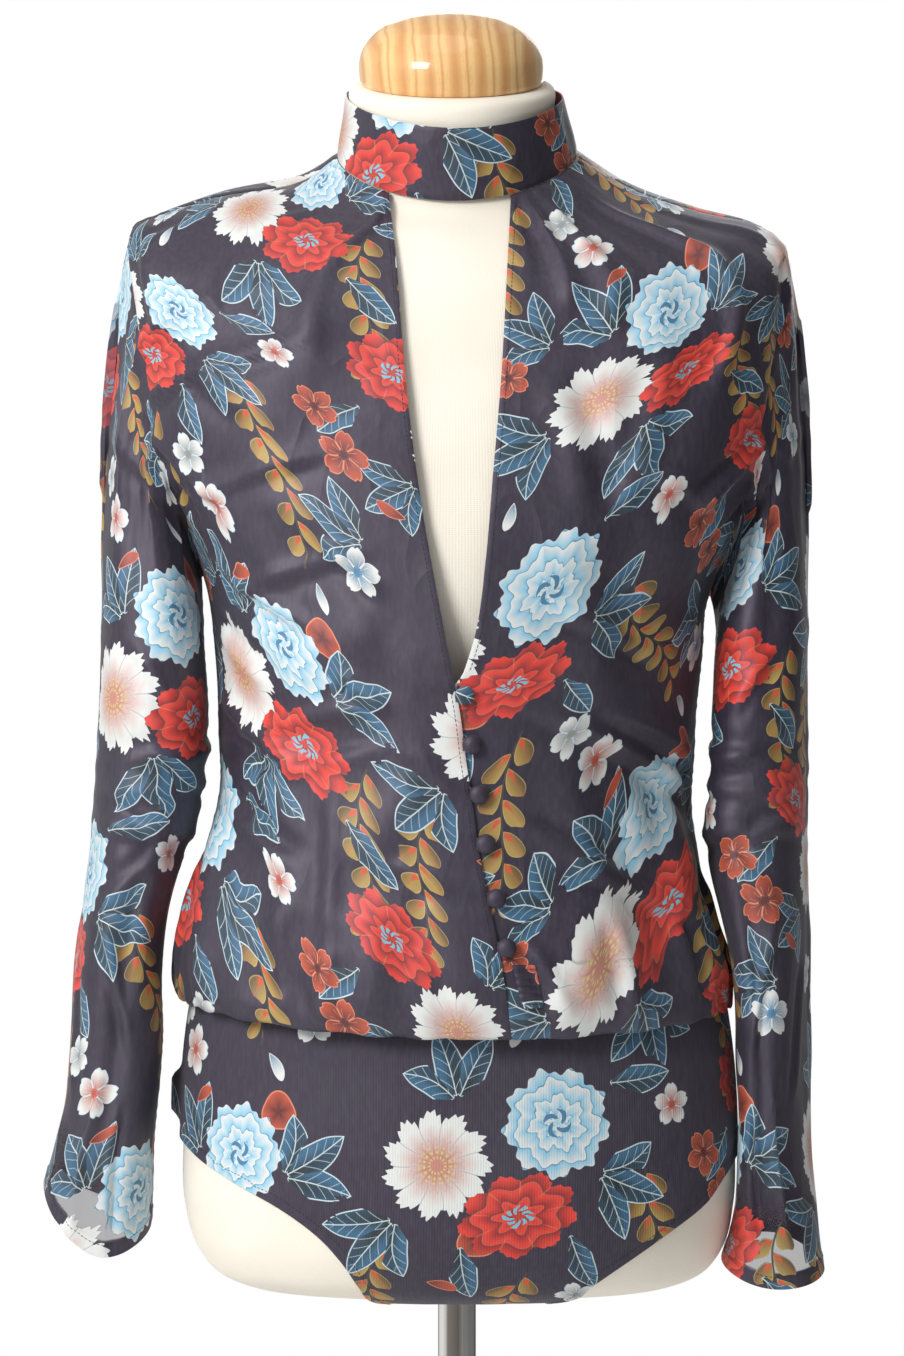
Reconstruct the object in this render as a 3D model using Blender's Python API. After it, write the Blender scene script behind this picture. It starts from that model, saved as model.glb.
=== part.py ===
"""Bodysuit with a satin blouse and a jersey brief, on a limbless dress form with a pole stand.

The script works in millimetres above the form's underside and writes metres above the floor.
Right and left are the wearer's: right is towards -X. The front faces -Y.
"""

from collections import namedtuple
from math import atan2, cos, pi, radians, sin

import bmesh
import bpy
import numpy as np

MM = 0.001

# ---------------------------------------------------------------- driving sizes, in millimetres
FORM_HEIGHT = 450.0  # underside of the form above the floor
SATIN = 1.5  # wall of the blouse, with its turned edges
JERSEY = 1.2  # wall of the brief
SEAM = 0.35  # space left between two sewn pieces
ARMHOLE_SEAM = 0.5  # the same round an armhole
REST = 0.95  # space between the jersey and the form under it
UNDERLAP = 16.0  # how far the left front runs on under the right one
LAP_LIFT = SATIN + 0.75  # height of the upper front over the lower one
BUTTON_RADIUS = 5.75
BUTTON_DOME = 4.2
BUTTON_FROM_EDGE = 4.5  # centre of a button from the edge of the right front
SHANK_RADIUS = 1.6
SHANK_CLEAR = 0.5  # from the foot of a shank to the cloth
COLLAR_BUTTON_LIFT = 0.7  # from the curved collar to the flat foot of a button
LOOP_RADIUS = 2.9  # middle line of a rouleau loop round its shank
LOOP_CORD = 0.8
ARMHOLE_BITE = 27.0  # degrees that the armhole cuts from the front and from the back
POLE_RADIUS = 11.5
PLATE_RADIUS = 165.0
PLATE_THICKNESS = 10.0
LEG_CUT_REACH = 40.0  # how far a leg cutter runs on below the form
LEG_CUT_DEPTH = 200.0  # and how far to the front or back
CAP_TILT = 17.0  # degrees that the top of the neck leans forward

# ---------------------------------------------------------------- tables
# A ring of a body. right, left: half widths. front, back: depths from the side line, which
# lies at y = mid. z_...: heights of its four quarter points. square: fullness of its corners.
Ring = namedtuple("Ring", "name right left front back mid z_front z_right z_left z_back square")

FORM_RINGS = (
    Ring("neck face", 60.5, 54.5, 57.5, 57.5, -2, 711, 728.6, 728.6, 746.2, 0),
    Ring("neck rim", 64, 58, 61, 61, -2, 708, 726.6, 726.6, 745.2, 0),
    Ring("neck", 64.5, 59, 61.5, 61.5, 1, 690, 712, 712, 732, 0),
    Ring("neck base", 70, 69.5, 61, 59.5, 8, 649, 684, 686, 700, 0),
    Ring("yoke 1", 93, 101, 79, 75, 8, 627, 668.5, 665.5, 683, 0),
    Ring("yoke 2", 140, 143, 96, 89, 7, 601, 659, 650, 656, 0.02),
    Ring("yoke 3", 172, 174, 105, 95, 6, 570, 646.5, 641.5, 619, 0.03),
    Ring("shoulder", 181, 183, 110, 97, 5, 543, 634, 627, 588, 0.04),
    Ring("arm plate", 179, 181, 114, 99, 4, 518, 588, 582, 543, 0.05),
    Ring("upper chest", 171, 173, 119, 100, 3, 484, 538, 533, 503, 0.05),
    Ring("bust", 158, 160, 123, 100, 2, 452, 484, 482, 465, 0.05),
    Ring("underarm", 147, 147, 121, 99, 2, 417, 428, 418, 424, 0.04),
    Ring("ribs", 135, 136, 109, 95, 1, 370, 374, 370, 372, 0.03),
    Ring("waist", 125, 126, 93, 89, 0, 290, 290, 290, 290, 0.02),
    Ring("high hip", 141, 142, 98, 98, 0, 240, 240, 240, 240, 0.02),
    Ring("tummy", 155, 156, 104, 109, 0, 196, 196, 196, 196, 0.02),
    Ring("hip line", 163.5, 165, 109, 118, 0, 146, 146, 146, 146, 0.02),
    Ring("hip", 165.4, 168, 111, 121, 0, 95, 95, 95, 95, 0.02),
    Ring("low hip", 164.5, 167.3, 109, 119, 0, 52, 52, 52, 52, 0.02),
    Ring("turn 1", 158, 162, 102, 112, 0, 28, 28, 28, 28, 0.02),
    Ring("turn 2", 146, 151, 90, 99, 0, 12, 12, 12, 12, 0.02),
    Ring("turn 3", 127, 132, 72, 79, 0, 3, 3, 3, 3, 0.02),
    Ring("sole", 95, 99, 44, 48, 0, 0, 0, 0, 0, 0.02),
)

BLOUSE_RINGS = (
    Ring("neck seam", 73, 73, 64.5, 62.5, 8, 651.5, 686, 688, 702, 0),
    Ring("yoke 1", 96, 104, 82, 78, 8, 630, 671.5, 668.5, 686, 0),
    Ring("yoke 2", 144, 147, 100, 92, 7, 604, 662.5, 653.5, 659, 0.02),
    Ring("yoke 3", 183, 183, 110, 99, 6, 574, 649.5, 644.5, 622, 0.03),
    Ring("shoulder tip", 197, 199, 116, 101, 5, 545, 642, 632, 590, 0.04),
    Ring("sleeve head", 200, 201, 121, 103, 4, 520, 592, 584, 545, 0.05),
    Ring("armhole", 196, 198, 127, 105, 3, 486, 541, 535, 505, 0.05),
    Ring("bust", 178, 182, 131, 106, 2, 452, 486, 482, 465, 0.04),
    Ring("armpit", 153, 152, 133, 107, 2, 421, 430, 418, 426, 0.03),
    Ring("midriff", 147, 149, 132, 104, 1, 384, 392, 386, 388, 0.02),
    Ring("waist", 143.5, 144, 128, 101, 0, 335, 335, 334, 335, 0.02),
    Ring("below waist", 144, 142.5, 126, 102, 0, 300, 300, 300, 300, 0.02),
    Ring("blouson 1", 153, 146, 127, 109, 0, 262, 266, 262, 264, 0.02),
    Ring("blouson 2", 166, 154, 130, 118, 0, 224, 230, 225, 226, 0.03),
    Ring("bulge", 172, 164, 132, 126, 0, 190, 200, 194, 194, 0.03),
    Ring("fold 1", 171, 166.5, 130, 128, 0, 168, 184, 178, 176, 0.03),
    Ring("fold 2", 168, 166, 125, 126, 0, 160.5, 178, 172, 170, 0.03),
    Ring("fold 3", 164, 165, 119, 121.5, 0, 164, 177.5, 173, 171.5, 0.02),
    Ring("waist seam", 160.4, 161.7, 110.8, 116.6, 0, 184, 184, 184, 184, 0.02),
)

# The collar's own rings, above the neck seam that it is sewn to.
COLLAR_RINGS = (
    Ring("top", 67.8, 64.6, 67, 65, 1, 693.5, 722.5, 721.5, 738, 0),
    Ring("middle", 69.2, 67.6, 66.4, 64.3, 3.5, 679, 710, 710, 725.5, 0),
    Ring("lower", 71.5, 71.2, 65.5, 63.5, 6.5, 664, 697, 698, 713, 0),
)

# A ring of a sleeve. outer, inner: distances from the middle of the body. y_front, y_back: its
# depth. lean: how far its front edge swings inwards. The hem hangs lower in front than behind.
Cuff = namedtuple("Cuff", "name outer inner y_front y_back z_outer z_inner z_front z_back lean")

RIGHT_SLEEVE = (
    Cuff("upper arm", 215.5, 153.0, -60, 64, 396, 396, 396, 396, 4),
    Cuff("mid arm", 217.8, 150.6, -60, 62, 345, 345, 345, 345, 4),
    Cuff("elbow 1", 219.5, 151.0, -59, 58, 305, 305, 305, 305, 4),
    Cuff("elbow 2", 222.5, 162.0, -58, 55, 268, 268, 268, 268, 5),
    Cuff("forearm 1", 227.0, 174.5, -56, 52, 228, 228, 228, 228, 6),
    Cuff("forearm 2", 231.5, 177.5, -54, 50, 190, 190, 190, 190, 6),
    Cuff("forearm 3", 234.5, 177.5, -51, 47, 150, 150, 150, 150, 5),
    Cuff("forearm 4", 238.0, 181.0, -49, 45, 110, 108, 108, 108, 4),
    Cuff("wrist", 244.5, 183.5, -46, 43, 84, 76, 76, 80, 2),
    Cuff("cuff", 249.7, 185.0, -42, 40, 66, 40, 25, 50, 0),
)

LEFT_SLEEVE = (
    Cuff("upper arm", 213.0, 156.0, -60, 64, 388, 388, 388, 388, 6),
    Cuff("mid arm", 213.2, 153.0, -62, 61, 340, 340, 340, 340, 8),
    Cuff("elbow 1", 213.0, 149.8, -64, 57, 300, 300, 300, 300, 9),
    Cuff("elbow 2", 213.0, 150.4, -65, 53, 265, 265, 265, 265, 10),
    Cuff("forearm 1", 213.0, 158.5, -65, 49, 228, 228, 228, 228, 11),
    Cuff("forearm 2", 213.5, 166.0, -64, 46, 190, 190, 190, 190, 12),
    Cuff("forearm 3", 214.2, 168.0, -60, 44, 140, 140, 140, 140, 12),
    Cuff("forearm 4", 215.4, 169.0, -56, 43, 92, 92, 92, 92, 13),
    Cuff("wrist", 218.0, 167.6, -50, 42, 52, 52, 50, 54, 9),
    Cuff("cuff", 222.0, 160.0, -44, 40, 12, 18, 5, 28, 2),
)

# A soft fold: a ridge (height above 0) or a trough from one place to another, which fades out
# at its ends. Places are degrees round the body from the centre front and heights.
Fold = namedtuple("Fold", "name angle_1 z_1 angle_2 z_2 width height")

BLOUSE_FOLDS = (
    Fold("right chest, upper", -21, 596, -35, 512, 17, 3.5),
    Fold("right chest, lower", -38, 560, -60, 500, 20, 2.9),
    Fold("right bust, slack", -60, 478, -82, 466, 15, -3.8),
    Fold("right bust to waist", -34, 480, -52, 410, 21, 3.5),
    Fold("right midriff", -18, 400, -44, 372, 16, 3.2),
    Fold("right waist, slack", -28, 330, -66, 352, 20, -3.5),
    Fold("right waist to hip", -50, 330, -34, 215, 18, 3.8),
    Fold("beside the loops", -4, 322, -24, 262, 14, 3.2),
    Fold("right blouson 1", -70, 292, -58, 185, 17, 4.3),
    Fold("right blouson 2", -44, 250, -40, 178, 14, -3.8),
    Fold("right blouson 3", -18, 240, -16, 174, 14, 3.5),
    Fold("left shoulder gather 1", 38, 622, 26, 500, 13, 3.8),
    Fold("left shoulder gather 2", 52, 630, 40, 486, 13, 3.5),
    Fold("left shoulder gather 3", 66, 628, 56, 520, 13, 3.2),
    Fold("left bust, drape", 30, 470, 60, 420, 21, 3.8),
    Fold("left waist, drape 1", 24, 376, 70, 330, 17, 3.5),
    Fold("left waist, drape 2", 40, 318, 84, 286, 15, -4.1),
    Fold("left waist, drape 3", 34, 300, 74, 248, 16, 3.8),
    Fold("left blouson 1", 26, 240, 28, 178, 14, 3.5),
    Fold("left blouson 2", 48, 244, 50, 180, 14, -3.5),
    Fold("left blouson 3", 70, 240, 70, 184, 15, 3.8),
    Fold("back yoke, right", 214, 640, 206, 540, 17, 3.2),
    Fold("back yoke, left", 146, 640, 155, 548, 17, 2.9),
    Fold("back, right drape", 236, 470, 214, 400, 21, 3.8),
    Fold("back, left drape", 124, 464, 148, 392, 21, 3.5),
    Fold("back waist, right", 246, 350, 200, 312, 18, -3.8),
    Fold("back waist, left", 112, 346, 158, 318, 18, -3.5),
    Fold("back middle", 186, 420, 178, 300, 17, 3.5),
    Fold("back blouson 1", 104, 280, 108, 190, 16, 4.1),
    Fold("back blouson 2", 130, 268, 130, 184, 15, -3.5),
    Fold("back blouson 3", 154, 272, 158, 184, 16, 4.1),
    Fold("back blouson 4", 182, 262, 182, 180, 15, -3.2),
    Fold("back blouson 5", 208, 274, 204, 184, 16, 3.8),
    Fold("back blouson 6", 232, 266, 230, 186, 15, -3.5),
    Fold("back blouson 7", 252, 280, 250, 190, 15, 3.8),
)

BRIEF_FOLDS = (
    Fold("right leg edge, standing off", -90, 132, -90, 104, 13, 6.0),
    Fold("left hip drag 1", 44, 60, 74, 96, 8, 1.6),
    Fold("left hip drag 2", 34, 40, 62, 66, 8, 1.4),
)

# Folds of a sleeve: degrees round it from its outer side, towards the front.
SLEEVE_FOLDS = (
    Fold("head, front", 40, 600, 62, 480, 13, 2.9),
    Fold("head, back", 322, 596, 300, 470, 13, 2.6),
    Fold("elbow 1", 20, 330, 130, 306, 13, -3.6),
    Fold("elbow 2", 150, 322, 250, 290, 12, -3.1),
    Fold("elbow 3", 60, 286, 160, 262, 12, -2.9),
    Fold("forearm, front", 96, 250, 82, 96, 11, -3.1),
    Fold("forearm, back", 262, 240, 280, 90, 11, -2.9),
    Fold("upper arm, front", 78, 470, 70, 350, 12, -2.6),
)

# Edges on the front, as heights and distances to the left of the middle.
Edge = namedtuple("Edge", "z x")

RIGHT_FRONT_EDGE = (
    Edge(655, -40.5),
    Edge(612, -35.4),
    Edge(565, -31.9),
    Edge(530, -28.6),
    Edge(471, -20.9),
    Edge(420, -12.0),
    Edge(375, -3.4),
    Edge(350, 1.4),
    Edge(322, 5.0),
    Edge(296, 8.9),
    Edge(270, 12.3),
    Edge(247, 16.8),
    Edge(218, 22.7),
    Edge(189, 27.8),
    Edge(160, 31.5),
)

LEFT_OPENING_EDGE = (
    Edge(655, 32.0),
    Edge(612, 29.5),
    Edge(541, 25.3),
    Edge(484, 20.4),
    Edge(437, 16.4),
    Edge(391, 9.6),
    Edge(368, 2.0),
    Edge(345, -9.0),
)

# Leg edges of the brief: half width at each height, right and left, front and back.
Leg = namedtuple("Leg", "z right left")

FRONT_LEGS = (
    Leg(97, 176, 185),
    Leg(90, 163, 176),
    Leg(84, 153, 170),
    Leg(72, 129, 158),
    Leg(60, 104, 146),
    Leg(44, 81, 123),
    Leg(30, 68, 102),
    Leg(13, 57, 78),
    Leg(3, 50, 66),
    Leg(0, 44, 56),
)

BACK_LEGS = (
    Leg(97, 176, 185),
    Leg(90, 164, 176),
    Leg(76, 155, 164),
    Leg(58, 140, 149),
    Leg(40, 122, 130),
    Leg(24, 103, 109),
    Leg(10, 80, 84),
    Leg(3, 60, 62),
    Leg(0, 44, 45),
)

# Buttons down the front and at the back of the collar, by the height of their centres.
BUTTON_HEIGHTS = (359, 331, 302, 273.5, 242, 213.5)
COLLAR_BUTTON_HEIGHTS = (712, 728)

# The wooden cap: (radius, height) from its lower edge up, and its top.
CAP_PROFILE = ((55.0, 0.0), (56.2, 5.0), (56.2, 13.0), (53.4, 22.0), (46.0, 31.0),
               (34.0, 38.0), (18.0, 42.2))
CAP_TOP = 43.6

# ---------------------------------------------------------------- smooth tables


def spline(knots, rows, s):
    """Columns of a table at s, on cubics that take their slopes from the rows beside them."""
    s = np.clip(np.asarray(s, float), knots[0], knots[-1])
    i = np.clip(np.searchsorted(knots, s, side="right") - 1, 0, len(knots) - 2)
    step = np.diff(knots)
    slope = np.diff(rows, axis=0) / step[:, None]
    tangent = np.vstack([slope[:1], slope[:1], slope[1:]])[: len(rows)].copy()
    before, after = step[:-1, None], step[1:, None]
    tangent[1:-1] = (slope[:-1] * after + slope[1:] * before) / (before + after)
    tangent[-1] = slope[-1]
    h = step[i][..., None]
    t = ((s - knots[i]) / step[i])[..., None]
    return (
        rows[i] * (1 + 2 * t) * (1 - t) ** 2
        + rows[i + 1] * t**2 * (3 - 2 * t)
        + tangent[i] * h * t * (1 - t) ** 2
        + tangent[i + 1] * h * t**2 * (t - 1)
    )


def by_height(table):
    """A function that reads the columns of a table of heights at any height."""
    rows = np.array(sorted(table), float)
    return lambda z: spline(rows[:, 0], rows[:, 1:], z)


def smooth_step(x):
    x = np.clip(x, 0, 1)
    return x * x * (3 - 2 * x)


def unit(v):
    return v / np.linalg.norm(v, axis=-1, keepdims=True)


class Loft:
    """A body of closed rings, smooth between them. s is the way down it, a the way round."""

    def __init__(self, rings):
        self.rows = np.array([ring[1:] for ring in rings], float)
        right, left, front, back, mid, z_front, z_right, z_left, z_back, square = self.rows.T
        quarters = ((right, z_right), (left, z_left), (front - mid, z_front), (back + mid, z_back))
        steps = [np.hypot(np.diff(out), np.diff(z)) for out, z in quarters]
        self.knots = np.concatenate([[0], np.cumsum(np.mean(steps, axis=0))])
        self.at = {ring.name: knot for ring, knot in zip(rings, self.knots)}

    def point(self, s, a):
        s, a = np.broadcast_arrays(np.asarray(s, float), np.asarray(a, float))
        columns = np.moveaxis(spline(self.knots, self.rows, s), -1, 0)
        right, left, front, back, mid, z_front, z_right, z_left, z_back, square = columns
        side, fore = np.sin(a), np.cos(a)
        swell = 1 + square * np.sin(2 * a) ** 2
        x = np.where(side > 0, left, right) * side * swell
        y = mid - np.where(fore > 0, front, back) * fore * swell
        z_side = (z_right + z_left) / 2
        z = z_side + (z_left - z_right) / 2 * side
        z = z + (z_front - z_back) / 2 * fore + ((z_front + z_back) / 2 - z_side) * fore**2
        return np.stack([x, y, z], axis=-1)

    def slopes(self, s, a):
        ds, da = 0.5, radians(0.3)
        down = self.point(np.add(s, ds), a) - self.point(np.subtract(s, ds), a)
        round_ = self.point(s, np.add(a, da)) - self.point(s, np.subtract(a, da))
        return down, round_ / (2 * da)

    def normal(self, s, a):
        down, round_ = self.slopes(s, a)
        return unit(np.cross(down, round_))


FORM = Loft(FORM_RINGS)
BLOUSE = Loft(BLOUSE_RINGS)


def folds(table, a, z, girth=130.0):
    """Height of all the folds of a table at places round a body."""
    total = np.zeros(np.broadcast(a, z).shape)
    for fold in table:
        start = np.array([girth * radians(fold.angle_1), fold.z_1])
        along = np.array([girth * radians(fold.angle_2), fold.z_2]) - start
        length = np.hypot(*along)
        for turn in (-2 * pi, 0, 2 * pi):
            across = girth * (a + turn) - start[0]
            t = (across * along[0] + (z - start[1]) * along[1]) / length**2
            off = (across * along[1] - (z - start[1]) * along[0]) / length
            fade = np.exp(-(np.clip(np.abs(t - 0.5) - 0.32, 0, None) / 0.17) ** 2)
            total = total + fold.height * fade * np.exp(-((off / fold.width) ** 2))
    return total


# ---------------------------------------------------------------- solids


def material_of(name, color, roughness, metallic=0.0):
    material = bpy.data.materials.new(name)
    material.use_nodes = True
    shader = material.node_tree.nodes["Principled BSDF"]
    shader.inputs["Base Color"].default_value = (*color, 1)
    shader.inputs["Roughness"].default_value = roughness
    shader.inputs["Metallic"].default_value = metallic
    return material


def add_solid(name, points, faces, material, crease=50):
    """A named solid from points in millimetres above the form's underside."""
    points = np.asarray(points, float) + (0, 0, FORM_HEIGHT)
    mesh = bpy.data.meshes.new(name)
    mesh.from_pydata((points * MM).tolist(), [], faces)
    shape = bmesh.new()
    shape.from_mesh(mesh)
    bmesh.ops.recalc_face_normals(shape, faces=shape.faces)
    shape.to_mesh(mesh)
    shape.free()
    mesh.shade_smooth()
    mesh.set_sharp_from_angle(angle=radians(crease))
    if material:
        mesh.materials.append(material)
    solid = bpy.data.objects.new(name, mesh)
    bpy.context.scene.collection.objects.link(solid)
    return solid


def wall(name, face, back, material, tube=False):
    """A wall between a grid of points on its face and the same grid on its back."""
    rows, columns = face.shape[:2]
    count = rows * columns

    def at(side, row, column):
        return side * count + row * columns + column % columns

    faces = []
    spans = columns if tube else columns - 1
    for row in range(rows - 1):
        for column in range(spans):
            for side in (0, 1):
                corners = ((row, column), (row + 1, column), (row + 1, column + 1), (row, column + 1))
                faces.append([at(side, *corner) for corner in corners])
    for row in (0, rows - 1):
        for column in range(spans):
            faces.append([at(0, row, column), at(0, row, column + 1), at(1, row, column + 1), at(1, row, column)])
    for column in () if tube else (0, columns - 1):
        for row in range(rows - 1):
            faces.append([at(0, row, column), at(0, row + 1, column), at(1, row + 1, column), at(1, row, column)])
    points = np.concatenate([face.reshape(-1, 3), back.reshape(-1, 3)])
    return add_solid(name, points, faces, material)


def turned(name, profile, place, segments, material, tip=None, crease=50):
    """A solid of revolution: (radius, height) pairs from its lower face up, closed at each end.

    place turns a point on the profile's own axis into its place on the part."""
    rings = []
    for radius, height in profile:
        ring = [(radius * cos(2 * pi * i / segments), radius * sin(2 * pi * i / segments), height)
                for i in range(segments)]
        rings.extend(ring)
    faces = [list(range(segments))]
    for row in range(len(profile) - 1):
        for i in range(segments):
            j = (i + 1) % segments
            low, high = row * segments, (row + 1) * segments
            faces.append([low + i, low + j, high + j, high + i])
    last = (len(profile) - 1) * segments
    if tip is None:
        faces.append(list(range(last, last + segments)))
    else:
        rings.append((0, 0, tip))
        faces.extend([last + i, last + (i + 1) % segments, len(rings) - 1] for i in range(segments))
    points = np.array([place(np.array(point)) for point in rings])
    return add_solid(name, points, faces, material, crease)


def rows_between(loft, *stretches):
    """Places down a loft: each stretch is its first ring, its last ring and its steps."""
    places = [loft.at[stretches[0][0]]]
    for first, last, steps in stretches:
        places.extend(np.linspace(loft.at[first], loft.at[last], steps + 1)[1:])
    return np.array(places)


# ---------------------------------------------------------------- the form and its stand

FORM_COLUMNS = 36
# The brief bends with the form under it, so both have their points at the same places.
BRIEF_ROWS = rows_between(FORM, ("tummy", "hip", 5), ("hip", "low hip", 3), ("low hip", "sole", 7))


def place_upright(point):
    return point


def place_cap(point):
    """Puts the cap's own axis on the leaning top of the neck."""
    lean = radians(CAP_TILT)
    centre = np.array([-3.0, -2.0, 728.6 + SEAM / cos(lean)])
    x, y, z = point
    return centre + (x, y * cos(lean) - z * sin(lean), y * sin(lean) + z * cos(lean))


def make_form(jersey):
    rows = np.concatenate([rows_between(
        FORM, ("neck face", "neck rim", 1), ("neck rim", "neck base", 3), ("neck base", "shoulder", 4),
        ("shoulder", "underarm", 5), ("underarm", "tummy", 5))[:-1], BRIEF_ROWS])
    angles = np.linspace(0, 2 * pi, FORM_COLUMNS, endpoint=False)
    grid = FORM.point(rows[:, None], angles[None, :])
    points = grid.reshape(-1, 3)
    columns, last = len(angles), (len(rows) - 1) * len(angles)
    faces = [list(range(columns)), list(range(last, last + columns))]
    for row in range(len(rows) - 1):
        for i in range(columns):
            j = (i + 1) % columns
            upper, lower = row * columns, (row + 1) * columns
            faces.append([upper + i, lower + i, lower + j, upper + j])
    add_solid("form_torso", points, faces, jersey)


def make_stand(steel):
    plate = ((PLATE_RADIUS - 2, -FORM_HEIGHT), (PLATE_RADIUS, 2 - FORM_HEIGHT),
             (PLATE_RADIUS, PLATE_THICKNESS - 4 - FORM_HEIGHT),
             (PLATE_RADIUS - 4, PLATE_THICKNESS - 1 - FORM_HEIGHT),
             (PLATE_RADIUS - 14, PLATE_THICKNESS - FORM_HEIGHT))
    turned("stand_plate", plate, place_upright, 40, steel, crease=30)
    pole = ((POLE_RADIUS, PLATE_THICKNESS + SEAM - FORM_HEIGHT), (POLE_RADIUS, -SEAM))
    turned("stand_pole", pole, place_upright, 28, steel, crease=30)


# ---------------------------------------------------------------- the blouse

BLOUSE_ROWS = rows_between(
    BLOUSE, ("neck seam", "shoulder tip", 5), ("shoulder tip", "armpit", 10),
    ("armpit", "blouson 1", 7), ("blouson 1", "bulge", 4), ("bulge", "waist seam", 7))
TIP_ROW, ARMPIT_ROW = 5, 15
FRONT_COLUMNS = 11
BACK_COLUMNS = 19

right_front_edge = by_height(RIGHT_FRONT_EDGE)
left_opening_edge = by_height(LEFT_OPENING_EDGE)


def above_fold(s, clear):
    """1 down to a little above the fold at the blouse's lower edge, 0 from there on."""
    return smooth_step((BLOUSE.at["fold 1"] - clear - s) / 16)


def left_front_edge(s, z):
    """The left front's edge: the opening, then a strip under the right front, then side by side."""
    strip = above_fold(s, 24)
    below = right_front_edge(z)[..., 0] + SEAM * (1 - strip) - UNDERLAP * strip
    under = smooth_step((372 - z) / 30)
    return (1 - under) * left_opening_edge(z)[..., 0] + under * below


def angle_at(s, edge):
    """Angle round the blouse at which it meets an edge, row by row."""
    a = np.zeros_like(s)
    for _ in range(20):
        place = BLOUSE.point(s, a)
        a = a + (edge(s, place[..., 2]) - place[..., 0]) / 150
    return a


def armhole_cut(s):
    """Angle that the armhole takes from the side of a panel, row by row."""
    tip, armpit = BLOUSE.at["shoulder tip"], BLOUSE.at["armpit"]
    t = np.clip((s - tip) / (armpit - tip), 0, 1)
    return radians(ARMHOLE_BITE) * np.sin(pi * t**0.9) ** 0.8


def side_gap(s, a):
    """Half of a seam's space, as an angle."""
    return SEAM / 2 / np.linalg.norm(BLOUSE.slopes(s, a)[1], axis=-1)


def panel(s, a, lift=0.0):
    """Face of the blouse, with its folds, and the direction out of it."""
    out = BLOUSE.normal(s, a)
    flat = BLOUSE.point(s, a)
    calm = smooth_step((s - BLOUSE.at["neck seam"]) / 25)
    calm = calm * smooth_step((BLOUSE.at["fold 2"] - s) / 12)
    from_lap = np.abs(flat[..., 0] - right_front_edge(flat[..., 2])[..., 0] + UNDERLAP / 2)
    beside = smooth_step((from_lap - UNDERLAP) / 14)
    calm = calm * np.maximum(beside, smooth_step((flat[..., 2] - 370) / 30) + (flat[..., 1] > 0))
    rise = folds(BLOUSE_FOLDS, a, flat[..., 2]) * np.clip(calm, 0, 1) + lift
    return flat + out * rise[..., None], out


def front_angles(side):
    """Angles of a front panel's grid. side is -1 for the right front, 1 for the left one."""
    s = BLOUSE_ROWS
    edge = (lambda _, z: right_front_edge(z)[..., 0]) if side < 0 else left_front_edge
    first = angle_at(s, edge)
    last = side * (pi / 2 - armhole_cut(s) - side_gap(s, side * pi / 2))
    u = np.linspace(0, 1, FRONT_COLUMNS)
    return first[:, None] + (last - first)[:, None] * u[None, :]


def right_front_lift(s, face):
    """The right front rises over the strip of the left one that runs under it."""
    x, z = face[..., 0], face[..., 2]
    from_edge = right_front_edge(z)[..., 0] - x
    near = smooth_step((UNDERLAP + 26 - from_edge) / 18)
    return LAP_LIFT * above_fold(s, 4) * smooth_step((405 - z) / 30) * near


def make_front(name, side, satin):
    s = BLOUSE_ROWS[:, None] + np.zeros((1, FRONT_COLUMNS))
    a = front_angles(side)
    lift = right_front_lift(s, BLOUSE.point(s, a)) if side < 0 else np.zeros_like(a)
    face, out = panel(s, a, lift)
    wall(name, face, face - out * SATIN, satin)


def make_back(satin):
    s = BLOUSE_ROWS[:, None] + np.zeros((1, BACK_COLUMNS))
    cut = armhole_cut(BLOUSE_ROWS)
    first = pi / 2 + cut + side_gap(BLOUSE_ROWS, pi / 2)
    last = 3 * pi / 2 - cut - side_gap(BLOUSE_ROWS, 3 * pi / 2)
    u = np.linspace(0, 1, BACK_COLUMNS)
    a = first[:, None] + (last - first)[:, None] * u[None, :]
    face, out = panel(s, a)
    wall("back", face, face - out * SATIN, satin)


# ---------------------------------------------------------------- the collar


def collar_angles():
    """Angles of the collar's columns: those of the panels under it, and a few across the opening."""
    right, left = front_angles(-1)[0], front_angles(1)[0]
    across = np.linspace(right[0], left[0], 7)[1:-1]
    back = np.linspace(pi / 2, 3 * pi / 2, BACK_COLUMNS)[1:-1]
    half = BACK_COLUMNS // 2 - 1
    gap = SEAM / 2 / 64
    return np.concatenate([
        [-pi + gap], back[half + 1:] - 2 * pi, right[::-1], across, left, back[:half], [pi - gap]])


def make_collar(satin):
    a = collar_angles()
    upper = Loft(COLLAR_RINGS)
    down, _ = BLOUSE.slopes(0.5, a)
    foot = BLOUSE.point(0, a) - unit(down) * SEAM
    foot_back = foot - BLOUSE.normal(0.5, a) * SATIN
    s = upper.knots[:, None]
    face = upper.point(s, a[None, :])
    back = face - upper.normal(np.clip(s, 0.6, upper.knots[-1] - 0.6), a[None, :]) * SATIN
    wall("collar", np.vstack([face, foot[None]]), np.vstack([back, foot_back[None]]), satin)
    return upper


# ---------------------------------------------------------------- the sleeves


def armhole_loop(side):
    """Points of an armhole from the shoulder tip down the front and up the back, with the
    direction out of the cloth and the direction off its edge."""
    rows = np.arange(TIP_ROW, ARMPIT_ROW + 1)
    s = BLOUSE_ROWS[rows]
    turn = pi / 2 - armhole_cut(s)
    front = side * turn
    back = side * (pi - turn)
    s = np.concatenate([s, s[-2:0:-1]])
    a = np.concatenate([front, back[-2:0:-1]])
    face, out = panel(s, a)
    along = np.roll(face, -1, axis=0) - np.roll(face, 1, axis=0)
    off = unit(np.cross(out, along))
    off = off * np.sign(off[:, :1] * side + 1e-9)
    return face, out, off


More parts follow.
